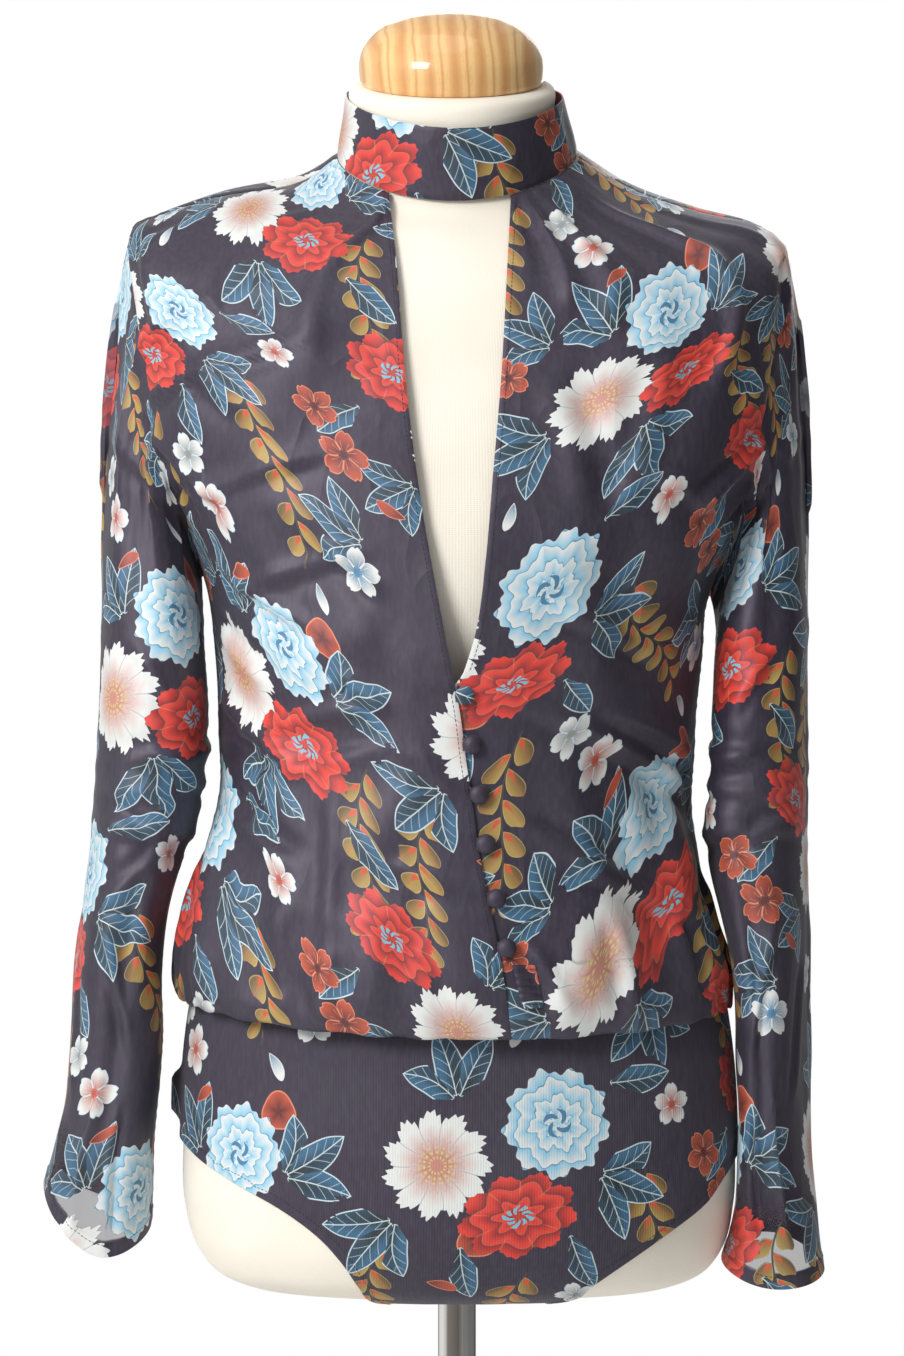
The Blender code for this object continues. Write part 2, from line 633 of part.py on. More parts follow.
def sleeve_ring(row, b, side):
    """One ring of a sleeve from a row of its table."""
    outer, inner, y_front, y_back, z_outer, z_inner, z_front, z_back, lean = row
    half = (outer - inner) / 2
    thick = np.sqrt(max(half**2 - lean**2, 1))
    y_mid, depth = (y_front + y_back) / 2, (y_back - y_front) / 2
    full = 1 + 0.08 * np.sin(2 * b) ** 2
    x = (outer + inner) / 2 + thick * np.cos(b) * full - lean * np.sin(b)
    y = y_mid - depth * np.sin(b) * full
    z_mid = (z_outer + z_inner) / 2
    z_end = np.where(np.sin(b) > 0, z_front, z_back)
    z = z_mid + (z_outer - z_inner) / 2 * np.cos(b) + (z_end - z_mid) * np.sin(b) ** 2
    return np.stack([side * x, y, z], axis=-1)


def make_sleeve(name, side, table, satin):
    seam, seam_out, off = armhole_loop(side)
    b = np.arange(len(seam)) * 2 * pi / len(seam)
    first = seam + off * ARMHOLE_SEAM
    values = np.array([row[1:] for row in table], float)
    heights = -values[:, 4]
    below = np.linspace(heights[0], heights[-1], 14)
    rings = [sleeve_ring(row, b, side) for row in spline(heights, values, below)]
    # Between the armhole and the first full ring each point runs off the seam and turns down.
    reach = np.linalg.norm(rings[0] - first, axis=1)[:, None]
    leave = (off * 0.55 + np.array([0, 0, -0.6])) * reach
    arrive = np.array([0, 0, -1.0]) * reach
    head = []
    for t in np.linspace(0, 1, 8)[1:-1]:
        head.append(
            first * (1 + 2 * t) * (1 - t) ** 2 + rings[0] * t**2 * (3 - 2 * t)
            + leave * t * (1 - t) ** 2 + arrive * t**2 * (t - 1))
    face = np.array([first, *head, *rings])
    out = grid_normals(face)
    rise = folds(SLEEVE_FOLDS, b[None, :], face[..., 2], girth=48.0)
    rise[:3] *= np.array([0, 0.2, 0.6])[:, None]
    face = face + out * rise[..., None]
    out = grid_normals(face)
    out[0] = seam_out
    wall(name, face, face - out * SATIN, satin, tube=True)


def grid_normals(face):
    """Directions out of a tube that is given by its rings."""
    down = np.gradient(face, axis=0)
    round_ = np.roll(face, -1, axis=1) - np.roll(face, 1, axis=1)
    out = unit(np.cross(down, round_))
    middle = face.mean(axis=1, keepdims=True)
    facing = np.sign(np.sum(out * (face - middle), axis=-1).mean())
    return out * facing


# ---------------------------------------------------------------- the brief


def leg_cutter(name, legs, side, depth):
    """A prism that cuts one leg opening. depth is its reach along y, from the middle."""
    column = 1 if side < 0 else 2
    outline = [(side * leg[column], leg.z) for leg in legs]
    outline += [(outline[-1][0], -LEG_CUT_REACH), (side * 2 * legs[0][column], -LEG_CUT_REACH),
                (side * 2 * legs[0][column], legs[0].z)]
    points = [(x, y, z) for y in (0.0, depth) for x, z in outline]
    count = len(outline)
    faces = [list(range(count)), list(range(count, 2 * count))]
    faces += [[i, (i + 1) % count, count + (i + 1) % count, count + i] for i in range(count)]
    cutter = add_solid(name, points, faces, None)
    cutter.hide_render = True
    cutter.display_type = "WIRE"
    return cutter


def make_brief(name, legs, middle, jersey, sag):
    """Front or back of the brief, from the waist down under the form, with its leg edges cut out.

    middle is the angle of its middle line. sag is how far the left corner of its end hangs."""
    angles = middle + np.radians(np.arange(-90, 91, 360 // FORM_COLUMNS))
    gap = SEAM / 2 / np.linalg.norm(FORM.slopes(FORM.at["hip"], angles[[0, -1]])[1], axis=-1)
    angles[[0, -1]] += gap * (1, -1)
    s, a = BRIEF_ROWS[:, None] + np.zeros((1, len(angles))), angles[None, :]
    out = FORM.normal(np.clip(s, 1, FORM.knots[-1] - 1), a)
    place = FORM.point(s, a)
    rise = REST + JERSEY + np.clip(folds(BRIEF_FOLDS, a, place[..., 2]), 0, None)
    face = place + out * rise[..., None]
    back = face - out * JERSEY
    for share in (0.76, 0.5):
        x, y = place[-1, :, 0] * share, place[-1, :, 1] * share
        drop = REST + sag * smooth_step((x + 30) / 70) * smooth_step((1 - share) / 0.45)
        under = np.stack([x, y, -drop], axis=-1)
        face = np.vstack([face, under[None] - (0, 0, JERSEY)])
        back = np.vstack([back, under[None]])
    brief = wall(name, face, back, jersey)
    depth = LEG_CUT_DEPTH if middle else -LEG_CUT_DEPTH
    for word, side in (("right", -1), ("left", 1)):
        cut = brief.modifiers.new(f"{word} leg opening", "BOOLEAN")
        cut.operation = "DIFFERENCE"
        cut.solver = "EXACT"
        cut.object = leg_cutter(f"{name}_{word}_leg", legs, side, depth)


# ---------------------------------------------------------------- buttons, loops and placket


def seat(loft, s, a, face, out):
    """A function that stands a small piece on a face: its z leaves the cloth, its y points up."""
    down, _ = loft.slopes(s, a)
    up = unit(-down - out * np.dot(-down, out))
    across = np.cross(up, out)
    return lambda p: face + across * p[0] + up * p[1] + out * p[2]


def find_row(loft, a, z, last):
    """The way down a loft, as far as its ring called last, at which it has a height."""
    s = np.linspace(0, loft.at[last], 1200)
    return float(s[np.argmin(np.abs(loft.point(s, a)[:, 2] - z))])


def make_button(name, place, lift, satin, shank=True):
    dome = [(BUTTON_RADIUS * cos(t), BUTTON_DOME * (0.12 + 0.88 * sin(t))) for t in (0, 0.45, 0.85, 1.2)]
    profile = [(BUTTON_RADIUS - 0.5, 0.0), *dome]
    if shank:
        profile = [(SHANK_RADIUS, SHANK_CLEAR - lift), (SHANK_RADIUS, 0.0), *profile]
    profile = [(radius, height + lift) for radius, height in profile]
    turned(name, profile, place, 12, satin, tip=BUTTON_DOME + lift, crease=60)


def make_loop(name, place, lean, satin):
    """A cord that leaves the edge of the right front, rounds the shank and comes back.

    lean is how far that edge runs across for each millimetre up."""
    start = -BUTTON_FROM_EDGE + SEAM + 0.2
    bend = [(LOOP_RADIUS * cos(t), LOOP_RADIUS * sin(t)) for t in np.linspace(pi / 2, -pi / 2, 6)]
    path = [(start + lean * LOOP_RADIUS, LOOP_RADIUS), *bend, (start - lean * LOOP_RADIUS, -LOOP_RADIUS)]
    height = LAP_LIFT - SATIN / 2
    sides = 5
    points = []
    for i, (x, y) in enumerate(path):
        before, after = path[max(i - 1, 0)], path[min(i + 1, len(path) - 1)]
        heading = atan2(after[1] - before[1], after[0] - before[0])
        if i in (0, len(path) - 1):
            heading = 0.0 if i == 0 else pi
        for k in range(sides):
            t = 2 * pi * k / sides
            off = LOOP_CORD * cos(t)
            points.append((x - off * sin(heading), y + off * cos(heading), height + LOOP_CORD * sin(t)))
    faces = [list(range(sides)), list(range(len(points) - sides, len(points)))]
    for row in range(len(path) - 1):
        for k in range(sides):
            j = (k + 1) % sides
            faces.append([row * sides + k, row * sides + j, (row + 1) * sides + j, (row + 1) * sides + k])
    add_solid(name, [place(np.array(point)) for point in points], faces, satin, crease=70)


def make_fastening(satin):
    for number, z in enumerate(BUTTON_HEIGHTS, 1):
        edge = right_front_edge(np.array([z - 1, z, z + 1]))[:, 0]
        s = a = 0.0
        for _ in range(8):
            s = find_row(BLOUSE, a, z, "fold 1")
            a = a + (edge[1] + BUTTON_FROM_EDGE - float(BLOUSE.point(s, a)[0])) / 150
        face, out = panel(np.array([s]), np.array([a]))
        place = seat(BLOUSE, s, a, face[0], out[0])
        make_button(f"button_{number}", place, LAP_LIFT + 0.55, satin)
        make_loop(f"loop_{number}", place, (edge[2] - edge[0]) / 2, satin)


def make_placket_end(satin):
    """The stitched end of the button strip, which lies on the left front below the last button."""
    heights = np.linspace(204, 179, 6)
    rows = np.array([find_row(BLOUSE, 0.2, z, "fold 1") for z in heights])
    edge = right_front_edge(heights)[:, 0]
    x = (edge + 3.2)[:, None] + np.linspace(0, 11.5, 4)[None, :]
    a = np.arcsin(x / 146.0)
    face, out = panel(rows[:, None] + np.zeros_like(a), a)
    pucker = 0.25 * np.sin(np.arange(6) * pi)[:, None] + np.zeros_like(a)
    top = face + out * (SEAM + 1.4 + pucker)[..., None]
    wall("placket_end", top, face + out * SEAM, satin)


def make_collar_buttons(upper, satin):
    for number, z in enumerate(COLLAR_BUTTON_HEIGHTS, 1):
        a = pi - 0.07
        s = find_row(upper, a, z, "lower")
        face, out = upper.point(s, a), upper.normal(s, a)
        place = seat(upper, s, a, face, out)
        make_button(f"collar_button_{number}", place, COLLAR_BUTTON_LIFT, satin, shank=False)


def main():
    for leftover in list(bpy.data.objects):
        bpy.data.objects.remove(leftover)
    satin = material_of("printed_satin", (0.055, 0.048, 0.062), 0.4)
    brief = material_of("printed_jersey", (0.05, 0.045, 0.058), 0.8)
    cream = material_of("cream_jersey", (0.84, 0.78, 0.66), 0.85)
    pine = material_of("varnished_pine", (0.72, 0.42, 0.16), 0.25)
    steel = material_of("chromed_steel", (0.6, 0.6, 0.62), 0.15, 1.0)

    make_stand(steel)
    make_form(cream)
    turned("form_cap", CAP_PROFILE, place_cap, 30, pine, tip=CAP_TOP)
    make_front("front_right", -1, satin)
    make_front("front_left", 1, satin)
    make_back(satin)
    upper = make_collar(satin)
    make_sleeve("sleeve_right", -1, RIGHT_SLEEVE, satin)
    make_sleeve("sleeve_left", 1, LEFT_SLEEVE, satin)
    make_brief("brief_front", FRONT_LEGS, 0.0, brief, sag=5.0)
    make_brief("brief_back", BACK_LEGS, pi, brief, sag=0.0)
    make_fastening(satin)
    make_placket_end(satin)
    make_collar_buttons(upper, satin)


main()
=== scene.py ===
# %% [markdown]
# # A printed satin bodysuit on its dress form
#
# The real thing is a blouse of thin printed satin, sewn to a brief of stretch jersey and worn by a
# limbless dress form. Nearly all that one sees is cloth, so this lesson is about cloth: how a flat,
# printed length of it is cut, sewn, hung and lit. The hard parts are few: a wooden cap, a chromed
# pole and a round base.
#
# The frame comes first. It is the finished solid model, and every piece below is laid on it.

# %% Load the frame
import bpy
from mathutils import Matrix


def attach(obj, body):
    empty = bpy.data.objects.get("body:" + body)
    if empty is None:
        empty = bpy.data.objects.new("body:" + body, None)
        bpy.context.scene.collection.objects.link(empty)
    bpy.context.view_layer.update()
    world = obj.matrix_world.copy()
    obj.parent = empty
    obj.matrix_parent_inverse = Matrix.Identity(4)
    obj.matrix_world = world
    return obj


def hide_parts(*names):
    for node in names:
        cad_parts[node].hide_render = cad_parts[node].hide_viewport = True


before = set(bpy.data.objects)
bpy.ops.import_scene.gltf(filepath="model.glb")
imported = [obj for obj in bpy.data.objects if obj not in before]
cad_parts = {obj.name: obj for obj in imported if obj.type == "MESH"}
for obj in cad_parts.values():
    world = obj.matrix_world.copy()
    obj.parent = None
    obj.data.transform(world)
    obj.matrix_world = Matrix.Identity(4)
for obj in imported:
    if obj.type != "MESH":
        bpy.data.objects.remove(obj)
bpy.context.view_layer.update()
print("solids in the frame:", len(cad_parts))

# %% Tools that the lesson uses
from collections import namedtuple
from math import cos, pi, radians, sin, tau

import bmesh
import bpy
import numpy as np

MM = 0.001
BODY = "root"
FORM_HEIGHT = 450  # underside of the form above the floor, in millimetres like all sizes below

# %% [markdown]
# ## Where the camera stands
#
# The picture was taken straight from the front, from a few steps away, with a long lens. One pixel of
# it spans 0.606 mm at the middle of the garment. A camera with the same height and distance, and a
# lens worked out from that span, sees the form in the same place of the same frame.

# %% The camera
PHOTO_WIDTH = 904
PIXEL = 0.606 * MM
CAMERA_DISTANCE = 2.5
CAMERA_X, CAMERA_Z = -0.003, 0.819
SENSOR = 36


def put_in_scene(name, data):
    """A new object, in the scene's own collection."""
    made = bpy.data.objects.new(name, data)
    bpy.context.scene.collection.objects.link(made)
    return made


camera_data = bpy.data.cameras.new("photo_camera")
camera_data.sensor_fit = "HORIZONTAL"
camera_data.sensor_width = SENSOR
camera_data.lens = SENSOR * CAMERA_DISTANCE / (PHOTO_WIDTH * PIXEL)
camera = put_in_scene("photo_camera", camera_data)
camera.location = (CAMERA_X, -CAMERA_DISTANCE, CAMERA_Z)
camera.rotation_euler = (radians(90), 0, 0)
bpy.context.scene.camera = camera
print("lens of", round(camera_data.lens), "mm")

# %% [markdown]
# ## The studio
#
# A large soft lamp stands in front, on the viewer's left, and the room is brighter on that side, so
# the far side of the garment falls into shadow and every crease has a lit flank and a dark one. The
# backdrop is lit by itself: it looks pure white, but the garment gets much less light from it. A
# world can do both, because it knows whether a ray came straight from the camera.

# %% The world
BACKDROP, LEFT_WALL, RIGHT_WALL = 1.0, 0.72, 0.12

world = bpy.data.worlds.new("studio_white")
world.use_nodes = True
world_nodes, world_links = world.node_tree.nodes, world.node_tree.links
direction = world_nodes.new("ShaderNodeSeparateXYZ")
world_links.new(world_nodes.new("ShaderNodeTexCoord").outputs["Generated"], direction.inputs[0])
walls = world_nodes.new("ShaderNodeMapRange")
seen = world_nodes.new("ShaderNodeMapRange")
for name, value in (("From Min", -1), ("From Max", 1), ("To Min", LEFT_WALL), ("To Max", RIGHT_WALL)):
    walls.inputs[name].default_value = value
seen.inputs["To Max"].default_value = BACKDROP
world_links.new(direction.outputs["X"], walls.inputs["Value"])
world_links.new(world_nodes.new("ShaderNodeLightPath").outputs["Is Camera Ray"], seen.inputs["Value"])
world_links.new(walls.outputs["Result"], seen.inputs["To Min"])
world_links.new(seen.outputs["Result"], world_nodes["Background"].inputs["Strength"])
world_nodes["Background"].inputs["Color"].default_value = (1, 1, 1, 1)
bpy.context.scene.world = world
bpy.context.scene.view_settings.view_transform = "Standard"

# %% The lamps
Lamp = namedtuple("Lamp", "name place size watts")
LAMPS = (
    Lamp("key", (-1.65, -2.1, 1.95), 1.0, 62),
    Lamp("top", (-0.2, -0.5, 2.6), 1.2, 6),
    Lamp("rear", (0.4, 2.2, 1.8), 1.6, 20),
)


def add_lamp(lamp):
    light = bpy.data.lights.new(lamp.name, "AREA")
    light.size = lamp.size
    light.energy = lamp.watts
    holder = put_in_scene(f"lamp_{lamp.name}", light)
    holder.location = lamp.place
    aim = holder.location.copy()
    aim.z -= CAMERA_Z
    holder.rotation_euler = aim.to_track_quat("Z", "Y").to_euler()


for lamp in LAMPS:
    add_lamp(lamp)
print("lamps:", ", ".join(lamp.name for lamp in LAMPS))

# %% [markdown]
# ## Shader maths in plain Python
#
# A print is a formula: at each place on the cloth it says which colour is there. In Blender such a
# formula is a net of small nodes, which soon grows too large to draw by hand. So a `Term` wraps one
# socket of a net, and Python's own signs add the nodes: `1 - mask * 2` makes two Math nodes and
# links them. Any other node comes from `node`. Colours never go through a Math node, which would
# turn them grey: `paint_over` mixes them.

# %% A socket that does arithmetic
class Term:
    """A socket of a node tree that can be used in Python expressions."""

    def __init__(self, tree, socket=None):
        self.tree, self.socket = tree, socket

    def node(self, kind, settings=None, inputs=None, output=0):
        """Any node: its type, its settings, the values or terms of its sockets, and its output."""
        made = self.tree.nodes.new(kind)
        for name, value in (settings or {}).items():
            setattr(made, name, value)
        for key, value in (inputs or {}).items():
            if isinstance(value, Term):
                self.tree.links.new(value.socket, made.inputs[key])
            else:
                made.inputs[key].default_value = value
        return Term(self.tree, made.outputs[output] if made.outputs else None)

    def math(self, operation, *values, clamp=False):
        settings = {"operation": operation, "use_clamp": clamp}
        return self.node("ShaderNodeMath", settings, dict(enumerate(values)))

    def __add__(self, other):
        return self.math("ADD", self, other)

    def __sub__(self, other):
        return self.math("SUBTRACT", self, other)

    def __rsub__(self, other):
        return self.math("SUBTRACT", other, self)

    def __mul__(self, other):
        return self.math("MULTIPLY", self, other)

    def __truediv__(self, other):
        return self.math("DIVIDE", self, other)

    def __pow__(self, other):
        return self.math("POWER", self, other)

    def __abs__(self):
        return self.math("ABSOLUTE", self)

    __radd__, __rmul__ = __add__, __mul__

    def sin(self):
        return self.math("SINE", self)

    def cos(self):
        return self.math("COSINE", self)

    def wave(self, length):
        """Swings between -1 and 1, once in each such length."""
        return (self * (tau / length)).sin()

    def fraction(self):
        return self.math("FRACT", self)

    def most(self, other):
        return self.math("MAXIMUM", self, other)

    def ramp(self, low, high):
        """0 at low, 1 at high, straight between them. low may be above high."""
        scale = 1 / (high - low)
        return self.math("MULTIPLY_ADD", self, scale, -low * scale, clamp=True)

    def above(self, edge, soft=0.25):
        """1 where this is above an edge, 0 below it, with a soft step as wide as a thread."""
        return self.ramp(edge - soft / 2, edge + soft / 2)

    def near(self, value, reach, soft=0.25):
        """1 where this is within reach of a value."""
        return abs(self - value).ramp(reach + soft / 2, reach - soft / 2)

    def teeth(self, count):
        """For an angle: 1 in the middle of each of so many equal sectors, 0 between them."""
        return 1 - abs((self * (count / tau)).fraction() - 0.5) * 2


def paint_over(share, below, above):
    """The colour above laid over the colour below, by a share from 0 to 1."""
    return share.node("ShaderNodeMix", {"data_type": "RGBA"}, {0: share, 6: below, 7: above}, 2)


def rgb(red, green, blue):
    """A colour as the eye names it, from 0 to 255, made linear for the shader."""
    channels = [c / 255 for c in (red, green, blue)]
    return (*(c / 12.92 if c <= 0.04045 else ((c + 0.055) / 1.055) ** 2.4 for c in channels), 1)


print("a grey of 128 is", round(rgb(128, 128, 128)[0], 3), "in linear light")

# %% [markdown]
# ## The print
#
# The cloth is printed with flowers on a dark plum ground: leaves in teal with pale outlines, mustard
# sprigs, and white, red and pale blue blooms, with small blossoms and loose petals between them. The
# motifs here are of those kinds, colours and sizes, but they are drawn by formula and set out anew.
#
# Each kind of motif is drawn once, in its own millimetres, from a place (x, y) round its middle. So
# each function below takes x and y and gives back a mask, which is 1 inside the motif, and a colour.
# Most of them are flowers, for which a distance and an angle say more than x and y do.

# %% Colours of the print
SATIN_GROUND, JERSEY_GROUND = rgb(39, 32, 49), rgb(48, 42, 57)
SHEEN_HUE = (0.93, 0.86, 1, 1)
TEAL, DARK_GREEN, OUTLINE = rgb(52, 100, 130), rgb(24, 40, 42), rgb(198, 216, 220)
MUSTARD, OLIVE, EMBER, GOLD = rgb(176, 146, 74), rgb(104, 80, 34), rgb(212, 84, 44), rgb(204, 186, 124)
SNOW, DUSTY_PINK, WINE = rgb(224, 226, 222), rgb(200, 138, 124), rgb(140, 62, 60)
POLLEN = rgb(206, 200, 120)
SKY, DEEP_SKY = rgb(128, 194, 222), rgb(66, 124, 160)
SCARLET, CRIMSON, LAGOON = rgb(226, 62, 44), rgb(128, 26, 24), rgb(112, 190, 208)
RUST, RUST_SHADE, RUST_EDGE = rgb(184, 80, 50), rgb(92, 34, 28), rgb(222, 132, 96)
SMOKE = rgb(140, 142, 142)


def polar(x, y):
    """Distance from the middle, and the angle round it."""
    return (x * x + y * y) ** 0.5, x.math("ARCTAN2", y, x)


# %% A fan of pointed leaves
LEAF_TURN = radians(47)  # from one leaf of a fan to the next
LEAF_LENGTH, LEAF_HALF = 40, 9.6


def leaf_fan(x, y, others):
    """Leaves that spread from one place along +x: one, and so many others on either side of it."""
    reach, angle = polar(x, y)
    number = (angle / LEAF_TURN).math("ROUND", angle / LEAF_TURN)
    turn = angle - number * LEAF_TURN
    along = reach * turn.cos() - 2.5
    length = LEAF_LENGTH + (number * 2.3 + 0.6).sin() * 5
    t = (along / length).ramp(0, 1)
    across = reach * turn.sin() + (t * pi).sin() * (number * 2.6 - 1.3)
    half = t ** 0.72 * (1 - t) ** 0.95 * (3.2 * LEAF_HALF) * ((t * 9).sin() * 0.06 + 1)
    inside = half - abs(across)
    mask = inside.above(0.15, 0.2) * (others + 0.5 - abs(number)).above(0)
    shade = (across / LEAF_HALF * 0.7 - t * 0.5 + 0.75) * (1.1 - abs(across) / LEAF_HALF * 0.8)
    bow = abs(across) * 1.5 - across * across * 0.045
    veins = ((along - bow) / 7.4).fraction().near(0.5, 0.035, 0.06) * inside.above(1.6) * t.ramp(1, 0.8)
    lines = (1 - inside.above(0.95)).most(across.near(0, 0.34)).most(veins * 0.75)
    return mask, paint_over(lines, paint_over(shade.ramp(0.1, 0.75), TEAL, DARK_GREEN), OUTLINE)


# %% A sprig of mustard leaves
SPRIG_HALF = 60
SPRIG_STEP = 15.5  # from one leaf to the next on the same side
LEAN = radians(40)
STEM = rgb(74, 62, 40)


def sprig(x, y):
    """A bending stem along y, with blunt leaves on both sides in turn."""
    off = x - (y / 21).sin() * 8
    place = (y + off.math("SIGN", off) * 3.9) / SPRIG_STEP
    rise = place.fraction() * SPRIG_STEP - 0.5
    size = 1 - y.ramp(0, SPRIG_HALF * 1.4) * 0.45
    away = abs(off) / size
    along = away * sin(LEAN) + rise / size * cos(LEAN)
    across = away * cos(LEAN) - rise / size * sin(LEAN)
    t = ((along - 1) / 18.5).ramp(0, 1)
    inside = t ** 0.9 * (1 - t) ** 0.5 * 13.2 - abs(across + (t * pi).sin() * 0.9)
    blush = (t.ramp(0.55, 0.05) * 2.2 - abs(across)).above(0, 0.9) * t.above(0.1, 0.05)
    number = place - place.fraction()
    shade = (across / 8 + (number * 1.9).sin() * 0.3 + 0.45).ramp(0.05, 1)
    stem = off.near(0, 0.55)
    mask = (inside.above(0.2) * number.near(-0.5, 2.7)).most(stem * (SPRIG_HALF - 8 - abs(y)).above(0))
    leaf = paint_over(blush, paint_over(shade, MUSTARD, OLIVE), EMBER)
    leaf = paint_over((inside - 0.2).near(0.3, 0.2) * 0.6, leaf, GOLD)
    return mask, paint_over(inside.above(0.1), STEM, leaf)


def bud(x, y):
    """A round rust-coloured bud with a darker heart."""
    reach, angle = polar(x, y)
    rim = 9.5 + (angle * 3).sin() * 0.8
    shade = (reach + (angle * 5).sin()).ramp(1, 9)
    colour = paint_over(shade, RUST_SHADE, RUST)
    return (rim - reach).above(0), paint_over((rim - reach).near(0, 0.7), colour, RUST_EDGE)


# %% The big blooms
def white_bloom(x, y):
    """A ragged white bloom with a dusty pink heart and yellow-green stamens."""
    reach, angle = polar(x, y)
    swing = angle + (reach * 0.09).sin() * 0.12
    petal, tooth = swing.teeth(11), swing.teeth(47)
    rim = petal ** 0.55 * 8.2 + tooth * 2.8 + 22.5
    inner = swing.teeth(22) ** 0.6 * 5 + 11
    between = (petal * reach).ramp(1.6, 0.3) * reach.ramp(9, 16)
    ring = (reach - inner).near(0, 0.35)
    rays = swing.teeth(26).above(0.86, 0.2) * reach.ramp(15, 5)
    dots = swing.teeth(15).above(0.55) * (reach / 3.1).fraction().near(0.5, 0.25) * reach.ramp(11.5, 10.5)
    colour = paint_over((reach - petal * 3).ramp(22, 5), SNOW, DUSTY_PINK)
    colour = paint_over((between * 0.55).most(ring * 0.4), colour, SMOKE)
    colour = paint_over(rays * 0.7, colour, WINE)
    colour = paint_over(dots * reach.above(3), colour, POLLEN)
    return (rim - reach).above(0), colour


def blue_bloom(x, y):
    """A full, ruffled bloom, white at the edges and sky blue between its petals."""
    reach, angle = polar(x, y)
    ruffle = (angle * 7 + reach * 0.16).sin() * 2.2 + (angle * 19).sin() * 0.9
    layer = ((reach + ruffle) / 9.2 + 0.3).fraction()
    rim = (angle * 9).sin() * 2.1 + (angle * 23 + 1).sin() * 1.2 + 31
    colour = paint_over(layer.ramp(0.05, 0.95), SKY, SNOW)
    colour = paint_over(layer.ramp(0.1, 0.02) * 0.85, colour, DEEP_SKY)
    heart = (angle * 4 + reach * 0.8).sin().above(0.1) * (reach - 5.5).near(0, 3)
    return (rim - reach).above(0), paint_over(heart, colour, DEEP_SKY)


def red_bloom(x, y):
    """A wide red bloom, seen from the side, with lagoon-blue marks in its middle."""
    reach, angle = polar(x, y / 0.7)
    petal = angle.teeth(9)
    rim = petal ** 0.6 * 8.5 + angle.teeth(38) * 1.8 + 27
    layer = ((reach + (angle * 7).sin() * 3.2) / 12.5).fraction()
    colour = paint_over(layer.ramp(0.0, 0.8), CRIMSON, SCARLET)
    between = (petal * reach).ramp(1.5, 0.4) * reach.ramp(16, 22)
    colour = paint_over((layer.near(0.02, 0.03, 0.04)).most(between) * 0.6, colour, RUST_EDGE)
    stroke = (angle + (reach * 0.5).sin() * 0.22).teeth(9).above(0.42, 0.16)
    marks = stroke * (reach - 6.2 - (angle * 4).sin() * 1.2).near(0, 2.6) * (y * 0.8 + 5).above(0, 4)
    return (rim - reach).above(0), paint_over(marks, colour, LAGOON)


# %% Small blossoms and loose petals
Hue = namedtuple("Hue", "name heart edge line")
BLOSSOM_HUES = (
    Hue("sky", DEEP_SKY, SNOW, SNOW),
    Hue("ash", SMOKE, SNOW, OUTLINE),
    Hue("rust", RUST_SHADE, RUST, RUST_EDGE),
    Hue("peach", RUST, SNOW, OUTLINE),
)


def hues_of(number):
    """The colours of a blossom's heart, edge and lines, picked by the number of its hue."""
    picked = list(BLOSSOM_HUES[0][1:])
    for index, hue in enumerate(BLOSSOM_HUES[1:], 1):
        chosen = number.near(index, 0.4)
        picked = [paint_over(chosen, old, new) for old, new in zip(picked, hue[1:])]
    return picked


def blossom(x, y, hues):
    """Five notched petals with fine stamens."""
    heart, edge, line = hues
    reach, angle = polar(x, y)
    petal = angle.teeth(5)
    rim = petal ** 0.5 * 7.6 - petal.ramp(0.82, 1) * 1.9 + 7.4
    inside = rim - reach
    lines = (1 - inside.above(0.75)).most((petal * reach).ramp(1.1, 0.6) * reach.above(3))
    stamens = angle.teeth(10).above(0.9, 0.12) * (8.2 - reach).above(0) * reach.above(2)
    colour = paint_over((reach + petal * 2).ramp(3.5, 13), heart, edge)
    return inside.above(0), paint_over(lines.most(stamens * 0.7), colour, line)


def loose_petal(x, y, hues):
    """One pointed petal, 17 mm long, along x."""
    heart, edge, line = hues
    t = ((x + 8.5) / 17).ramp(0, 1)
    inside = t ** 0.9 * (1 - t) ** 0.6 * 9.8 - abs(y + (t * pi).sin() * 0.8)
    mask = inside.above(0.2) * t.above(0.02, 0.02)
    return mask, paint_over(1 - inside.above(0.7), paint_over(t.ramp(0, 0.8), heart, edge), line)


# %% [markdown]
# ## One repeat of the roll
#
# A printing screen repeats: the same block of motifs comes again across and down the roll, here with
# every second column half a block lower. The table holds one block. A place in it is in millimetres,
# turn is in degrees, and size scales a motif. It is sorted into layers, because motifs of one layer
# are never drawn over each other: sprigs lie lowest, then leaves, pale blooms, red blooms and small
# blossoms. kind says which motif of the layer it is, in tens, and kind's last digit is its hue or,
# for a fan of leaves, how many leaves it has on either side of the first.

# %% The table of motifs
REPEAT_WIDTH, REPEAT_HEIGHT = 270, 350

